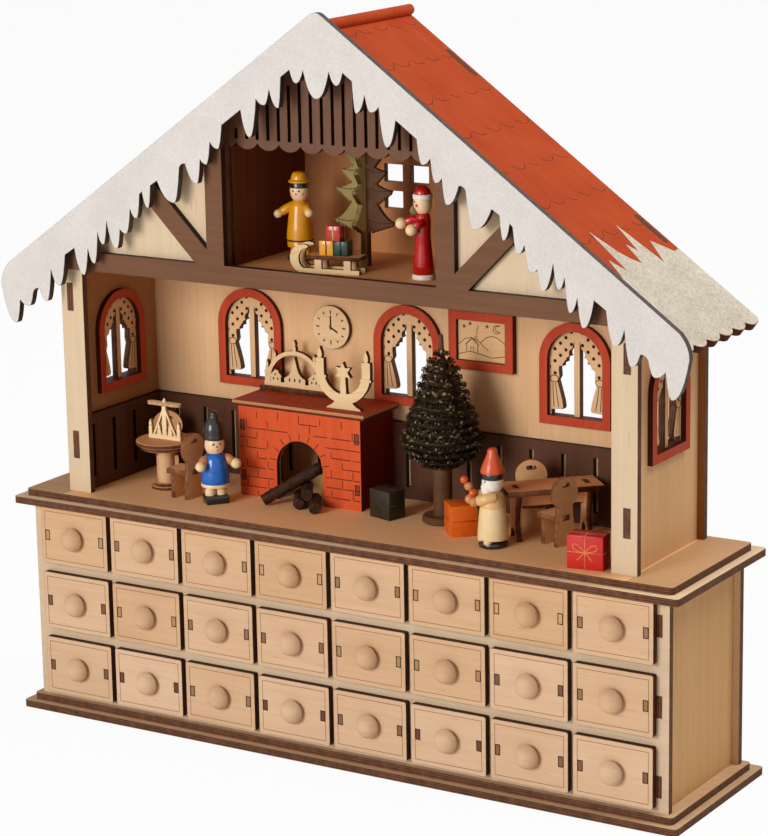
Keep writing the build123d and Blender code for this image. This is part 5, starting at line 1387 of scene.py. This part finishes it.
# Figure with the blue coat: black tall hat, cream legs on a black foot block.
# It stands on the room's floor at the left, beside the round table.
blue = Figure("blue", (-93.0, -20.7, house_floor), 50.0, 54.0)
blue.foot_block((13.6, 10.2, 4.9), 0.9)
blue.pair("leg", (3.2, 0, 0), [(2.6, 3.2), (3.1, 5.0), (3.0, 7.2), (2.4, 9.0), (2.5, 11.0)], cream_paint, 20)
blue.part("hem", [(0.140, 0.185), (0.152, 0.19), (0.153, 0.215), (0.148, 0.225)], cream_paint)
blue.part("coat", [(0.148, 0.220), (0.151, 0.225), (0.150, 0.29), (0.138, 0.40), (0.125, 0.48),
                   (0.100, 0.53), (0.062, 0.548)], blue_paint)
blue.part("head", [(0.060, 0.535), (0.085, 0.555), (0.103, 0.60), (0.105, 0.635), (0.100, 0.68),
                   (0.085, 0.715)], skin)
blue.part("hat", [(0.104, 0.692), (0.116, 0.700), (0.118, 0.718), (0.111, 0.735), (0.115, 0.770),
                  (0.110, 0.815), (0.096, 0.860), (0.074, 0.900), (0.052, 0.928), (0.046, 0.944),
                  (0.048, 0.962), (0.040, 0.984), (0.020, 0.998), (0, 1.0)], black_paint)
blue.arm("left", (-0.105, -0.01, 0.490), (-0.165, -0.080, 0.445), tan_paint, cream_paint)
blue.arm("right", (0.105, -0.01, 0.490), (0.180, -0.080, 0.445), tan_paint, cream_paint)
blue.face(0.104, ("eye", 0.036, 0.655, 0.0125, black_paint), ("nose", 0.0, 0.630, 0.0135, mouth_red),
          ("mouth", 0.0, 0.598, 0.014, cheek_pink))

# Figure with the cream coat: red cone hat, white beard, a tan cape, and a small doll in its arm.
# It stands on the room's floor at the right, on a round black foot, in front of the long table.
cream = Figure("cream", (89.6, -22.75, house_floor), -35.0, 54.5)
cream.part("foot", [(0.138, 0.0), (0.145, 0.008), (0.145, 0.040), (0.130, 0.055)], black_paint)
cream.pair("shoe", (3.4, -4.6, 2.0), ball(2.6, 1.6), cream_paint, 18)
cream.part("skirt", [(0.140, 0.075), (0.154, 0.085), (0.152, 0.16), (0.140, 0.30), (0.122, 0.44),
                     (0.105, 0.50)], cream_paint)
cape_paint = lacquer("figure_cape", paint(226, 184, 126), paint(208, 164, 106), 0.4, 0.2)
cream.part("cape", [(0.124, 0.40), (0.130, 0.405), (0.120, 0.47), (0.104, 0.525),
                    (0.064, 0.566)], cape_paint)
cream.part("head", [(0.060, 0.555), (0.088, 0.58), (0.106, 0.625), (0.107, 0.665), (0.100, 0.715),
                    (0.088, 0.745)], white_paint)
cream.part("hair", [(0.102, 0.684), (0.112, 0.694), (0.113, 0.748), (0.106, 0.758)], black_paint)
cream.part("hat", [(0.108, 0.744), (0.121, 0.751), (0.118, 0.785), (0.095, 0.845), (0.067, 0.905),
                   (0.052, 0.945), (0.050, 0.975), (0.034, 0.995), (0, 1.0)], orange_paint)
beard = [(0.7, -2.2), (1.9, -1.2), (3.0, 0.8), (3.6, 3.2), (3.2, 5.2), (0, 6.4)]
cream.rod("beard", (0, -0.066, 0.545), (0, -0.050, 0.645), beard, white_paint, 18)
cream.arm("left", (-0.095, -0.02, 0.520), (-0.150, -0.150, 0.470), cape_paint, tan_paint, 0.055, 0.050)
cream.arm("right", (0.095, -0.02, 0.520), (-0.020, -0.165, 0.470), cape_paint, tan_paint, 0.055, 0.050)
cream.face(0.1055, ("eye", 0.036, 0.672, 0.0115, black_paint))
doll_foot, doll_head = (-0.11, -0.16, 0.53), (-0.17, -0.245, 0.69)
doll_parts = (("body", 2.6, 0.0, orange_paint), ("head", 2.4, 4.6, tan_paint),
              ("cap", 2.3, 8.8, orange_paint))
for tag, radius, rise, stuff in doll_parts:
    cream.rod("doll_" + tag, doll_foot, doll_head, ball(radius, rise), stuff, 18)

# Figure with the yellow coat: stands behind the sled, one arm stretched out to its side.
# Its two legs are glued on a black foot block, and its coat has a black line at the hem.
attic_floor = 274.0
yellow = Figure("yellow", (-46.0, 1.95, attic_floor), 10.0, 49.5)
yellow.foot_block((13.0, 9.0, 2.5), 0.7)
yellow.pair("leg", (3.2, 0, 0), [(2.7, 2.0), (2.9, 4.0), (2.6, 8.0), (2.6, 11.2)], yellow_paint, 20)
yellow.part("hem", [(0.138, 0.150), (0.149, 0.156), (0.151, 0.215), (0.145, 0.222)], yellow_paint)
yellow.part("hem_line", [(0.146, 0.218), (0.152, 0.222), (0.152, 0.236), (0.146, 0.240)], black_paint)
yellow.part("coat", [(0.150, 0.236), (0.157, 0.242), (0.152, 0.32), (0.130, 0.50), (0.112, 0.60),
                     (0.095, 0.66), (0.062, 0.682)], yellow_paint)
yellow.part("head", [(0.060, 0.672), (0.086, 0.698), (0.104, 0.745), (0.108, 0.785), (0.104, 0.835),
                     (0.088, 0.875)], skin)
yellow.part("hair", [(0.098, 0.815), (0.1095, 0.822), (0.1095, 0.872), (0.100, 0.884)], black_paint)
yellow.part("hat", [(0.108, 0.876), (0.122, 0.881), (0.121, 0.900), (0.096, 0.912), (0.088, 0.955),
                    (0.070, 0.988), (0.036, 0.999), (0, 1.0)], yellow_paint)
yellow.arm("left", (-0.085, 0.0, 0.615), (-0.215, -0.060, 0.535), yellow_paint, cream_paint, 0.050, 0.050)
yellow.arm("right", (0.085, -0.01, 0.600), (0.150, -0.105, 0.565), yellow_paint, cream_paint, 0.050, 0.052)
yellow.face(0.107, ("eye", 0.036, 0.790, 0.0125, black_paint), ("mouth", 0.0, 0.757, 0.012, mouth_red),
            ("cheek", 0.066, 0.758, 0.017, cheek_pink))

# Figure with the red robe: white hem and cap band, both hands held out to the sled.
# It stands at the right of the attic, and its short beard is left rough.
red = Figure("red", (44.5, -16.15, attic_floor), -50.0, 51.2)
red.part("hem", [(0.112, 0.0), (0.122, 0.006), (0.122, 0.050), (0.114, 0.058)], white_paint)
red.part("robe", [(0.112, 0.054), (0.117, 0.060), (0.108, 0.18), (0.094, 0.32), (0.082, 0.46), (0.085, 0.56),
                  (0.086, 0.62), (0.072, 0.685), (0.052, 0.705)], red_paint)
red.part("head", [(0.052, 0.695), (0.078, 0.715), (0.096, 0.765), (0.099, 0.805), (0.094, 0.85),
                  (0.080, 0.885)], skin)
red.part("cap_band", [(0.094, 0.848), (0.104, 0.855), (0.105, 0.890), (0.096, 0.902)], white_paint)
red.part("cap", [(0.090, 0.895), (0.092, 0.915), (0.080, 0.948), (0.052, 0.976), (0.026, 0.996),
                 (0, 1.0)], red_paint)
red.arm("left", (-0.070, -0.02, 0.640), (-0.105, -0.180, 0.590), red_paint, cream_paint, 0.050, 0.064)
red.arm("right", (0.070, -0.02, 0.620), (0.090, -0.110, 0.560), red_paint, cream_paint, 0.050, 0.064)
beard_wool = cut_edge("beard_wool", paint(150, 132, 92), paint(112, 94, 60))
short_beard = [(1.0, -1.0), (2.4, 0.2), (2.9, 1.6), (2.4, 3.2), (1.0, 4.2), (0, 4.6)]
red.rod("beard", (-0.010, -0.070, 0.700), (-0.012, -0.120, 0.800), short_beard, beard_wool)
red.face(0.098, ("eye", 0.034, 0.825, 0.0115, black_paint), ("cheek", 0.062, 0.790, 0.020, mouth_red))

# Sled in the attic: two sawn runners that curl up in front, a deck on posts and three painted parcels.
# The runners are bare birch and the deck is stained. The parcels are blocks, each with a painted tape.
sled_spot, sled_turn = (-12.1, -22.7), 10.6
sled_board, runner_reach = 2.2, 4.4
deck_middle, deck_level = 4.75, 8.7
parcel_size, parcel_edge = 8.1, 0.4
tape_line, tape_half = 1.0, 3.8
runner = [(20.2, 0.0), (20.2, 2.6), (15.2, 2.6), (15.2, 7.6), (11.2, 7.6), (11.2, 2.6), (-1.8, 2.6),
          (-1.8, 7.6), (-5.8, 7.6), (-5.8, 2.6)]
runner += arc(-8.85, 7.8, 6.4, 6.4, 234.4, 96, 16) + arc(-12.45, 7.8, 7.8, 7.8, 70, 270, 20)
parcel_green = lacquer("parcel_green", paint(18, 58, 40), paint(10, 42, 28), 0.4, 0.2)
parcels = (
    ("yellow", 0.5, 9.8, yellow_paint, paint(150, 96, 20), paint(126, 76, 12)),
    ("green", 9.0, 9.8, parcel_green, paint(18, 40, 28), paint(12, 30, 20)),
    ("red", deck_middle, 18.0, red_paint, paint(226, 196, 120), paint(208, 170, 92)),
)


def on_sled(x, y):
    return about(sled_spot, sled_turn, x, y)


def sled_part(name, outline, stuff, place, edge):
    fit(saw("sled_" + name, [outline], sled_board, stuff, place, edge), "birch_sled", "sled")


for tag, y in (("front", -runner_reach), ("back", runner_reach)):
    runner_place = facing_front(*on_sled(0.0, y), attic_floor, sled_turn)
    sled_part("runner_" + tag, runner, carving_birch, runner_place, carving_edge)
deck_place = lying(*on_sled(deck_middle, 0.0), attic_floor + deck_level, sled_turn)
sled_part("deck", panel(0.0, -5.5, 31.0, 11.0), table_stain, deck_place, table_edge)
for tag, x, rise, stuff, tape_pale, tape_deep in parcels:
    parcel_place = lying(*on_sled(x, 0.0), attic_floor + rise, sled_turn)
    parcel = block("parcel_" + tag, evenly(parcel_size), parcel_place, stuff, parcel_edge)
    fit(parcel, "birch_sled", "sled")
    tape_paint = lacquer("tape_" + tag, tape_pale, tape_deep)
    tape_middle = attic_floor + rise + parcel_size / 2
    tape_place = facing_front(*on_sled(x, -parcel_size / 2), tape_middle, sled_turn)
    tape_run = [(0, -tape_half), (0, tape_half)]
    fit(score(f"parcel_{tag}_tape", [tape_run], tape_line, tape_paint, tape_place), "birch_sled")

# Fir of two thin boards that cross: branches sawn with fringed lower edges, stained green,
# with the drawing of the branches burnt in. It stands in the attic behind the sled.
fir_spot = (-3.5, 2.5, attic_floor)
fir_trunk, fir_skirt = 2.5, 19.2
fir_teeth, tooth_drop = 7, 1.6
cross_share = 0.65
branch_line = 0.45
fir_tiers = ((19.0, 25.0, 7.6, 35.2), (17.5, 42.6, 6.8, 46.0), (14.0, 53.0, 6.1, 55.2),
             (11.6, 61.8, 4.8, 63.2), (8.0, 69.0, 3.2, 70.4), (5.3, 75.0, 0.0, 79.8))


def fir_outline(share):
    """Both edges of a board: fringed below each tier, and swept up above it."""
    root_u, root_v = fir_trunk / share, fir_skirt
    edge = [(root_u, 0.0), (root_u, root_v)]
    for tip_u, tip_v, next_u, next_v in fir_tiers:
        drop = tooth_drop * tip_u / fir_tiers[0][0]
        for tooth in range(1, fir_teeth):
            s = tooth / fir_teeth
            u, v = root_u + s * (tip_u - root_u), root_v + s * (tip_v - root_v)
            edge += [(u, v), (u + 0.25, v - drop)]
        for step in range(5):
            s = step / 4
            edge.append((tip_u + s * (next_u - tip_u), tip_v + s ** 1.8 * (next_v - tip_v)))
        root_u, root_v = next_u, next_v
    return mirrored([(share * u, v) for u, v in edge])


def fir_stain_and_shade(name, axis, pale, deep):
    """Green stain on one half of a board, and brown painted shade on the other."""
    stuff, tree, shader, spot = new_finish(name)
    green, streak = wood_figure(tree, spot, "Z", pale, deep)
    painted_shade_brown = mixed(tree, streak, paint(100, 66, 42), paint(72, 46, 29))
    shaded_half = over(tree, axes(tree, spot)[axis], (fir_spot[axis] + 1.0) * mm)
    finish_wood(tree, shader, mixed(tree, shaded_half, green, painted_shade_brown), streak)
    return stuff


def fir_board(name, share, stuff, turn_by, edge):
    place = facing_front(*fir_spot, turn_by)
    piece = saw("fir_board_" + name, [fir_outline(share)], thin_board, stuff, place, edge)
    fit(piece, "green_fir", "fir_silhouette")


# Painted light and shade: the far half of each board is brown for the shade on it, and the cross board's
# green is painted paler to look lit on a face that the lamps barely reach.
fir_green = fir_stain_and_shade("fir_green", 0, paint(160, 142, 90), paint(130, 112, 64))
fir_cross_light_and_shade = fir_stain_and_shade("fir_cross_light_and_shade", 1, paint(222, 196, 130), paint(188, 162, 98))
fir_board("front", 1.0, fir_green, 0, table_edge)
fir_board("cross", cross_share, fir_cross_light_and_shade, 90, cut_edge("fir_edge", paint(150, 130, 82), paint(104, 84, 50)))
branches = []
for side in (-1, 1):
    for tier in fir_tiers[:-1]:
        tip_u, tip_v = tier[:2]
        branch = [(2.2, tip_v + 1.0), (0.5 * tip_u, tip_v - 0.6), (tip_u - 1.0, tip_v)]
        branches.append([(side * u, v) for u, v in branch])
branch_place = facing_front(fir_spot[0], fir_spot[1] - thin_board / 2, attic_floor)
fit(score("fir_branches", branches, branch_line, burnt_line, branch_place), "green_fir")

# Studio: a white floor under the object, a large soft lamp in front, a little to the left,
# and one high over the roof at the right. The air is white to the eye and a dim warm grey as light.
floor_size, floor_drop = 12.0, 0.0005
floor_glow = 0.95
deselect()
bpy.ops.mesh.primitive_plane_add(size=floor_size, location=(0, 0, -floor_drop))
sweep = bpy.context.object
sweep.name = "studio_floor"
sweep_white = bpy.data.materials.new("studio_white")
sweep_white.use_nodes = True
sweep_tree = sweep_white.node_tree
sweep_shader = sweep_tree.nodes["Principled BSDF"]
sweep_shader.inputs["Base Color"].default_value = (0.9, 0.9, 0.9, 1.0)
sweep_shader.inputs["Roughness"].default_value = 0.9
sweep_glow = put(sweep_tree, "Emission", {"Color": (1, 1, 1, 1), "Strength": 1.0}).outputs[0]
sweep_ray = put(sweep_tree, "LightPath", {}).outputs["Is Camera Ray"]
sweep_share = maths(sweep_tree, "MULTIPLY", sweep_ray, floor_glow)
sweep_sockets = {0: sweep_share, 1: sweep_shader.outputs[0], 2: sweep_glow}
sweep_mix = put(sweep_tree, "MixShader", sweep_sockets).outputs[0]
sweep_tree.links.new(sweep_mix, sweep_tree.nodes["Material Output"].inputs["Surface"])
sweep.data.materials.append(sweep_white)


def lamp(name, spot, aim, size, power, tint):
    light = bpy.data.lights.new(name, "AREA")
    light.size = size
    light.energy = power
    light.color = tint
    stand = bpy.data.objects.new(name, light)
    bpy.context.collection.objects.link(stand)
    stand.location = spot
    stand.rotation_euler = (Vector(aim) - Vector(spot)).to_track_quat("-Z", "Y").to_euler()


lamp("key_lamp", (-0.45, -2.2, 0.82), (0, 0, 0.2), 1.0, 39.0, (1.0, 0.98, 0.95))
lamp("top_lamp", (1.1, 0.5, 2.2), (0, 0, 0.3), 1.4, 34.0, (1.0, 0.96, 0.90))
world = bpy.data.worlds.new("studio_air")
bpy.context.scene.world = world
world.use_nodes = True
air = world.node_tree
backdrop = air.nodes["Background"]
path = put(air, "LightPath", {}).outputs
mirrored_ray = maths(air, "MAXIMUM", path["Is Glossy Ray"], path["Is Transmission Ray"])
seen = maths(air, "MAXIMUM", path["Is Camera Ray"], mirrored_ray)
air.links.new(mixed(air, seen, (0.18, 0.163, 0.14, 1.0), (1.0, 1.0, 1.0, 1.0)), backdrop.inputs["Color"])
backdrop.inputs["Strength"].default_value = 1.0
bpy.context.scene.view_settings.view_transform = "Standard"

# Camera: at the photograph's place, in front of the object, to its right and above it.
# Its place, its turn and its lens were solved on corners of the object in the photograph.
view_yaw, view_pitch, view_roll = 0.5568, -0.2393, -0.0177
view_spot = (0.8514, -1.35525, 0.579)
ahead = Vector((-sin(view_yaw) * cos(view_pitch), cos(view_yaw) * cos(view_pitch), sin(view_pitch)))
right = Vector((cos(view_yaw), sin(view_yaw), 0))
upward = right.cross(ahead)
turned_right = cos(view_roll) * right + sin(view_roll) * upward
turned_up = -sin(view_roll) * right + cos(view_roll) * upward
view_turn = Matrix((turned_right, turned_up, -ahead)).transposed().to_4x4()
lens = bpy.data.cameras.new("camera")
lens.sensor_fit = "VERTICAL"
lens.sensor_height = 36.0
lens.lens = 127.75
lens.clip_start = 0.05
camera = bpy.data.objects.new("camera", lens)
bpy.context.collection.objects.link(camera)
camera.matrix_world = Matrix.Translation(view_spot) @ view_turn
bpy.context.scene.camera = camera
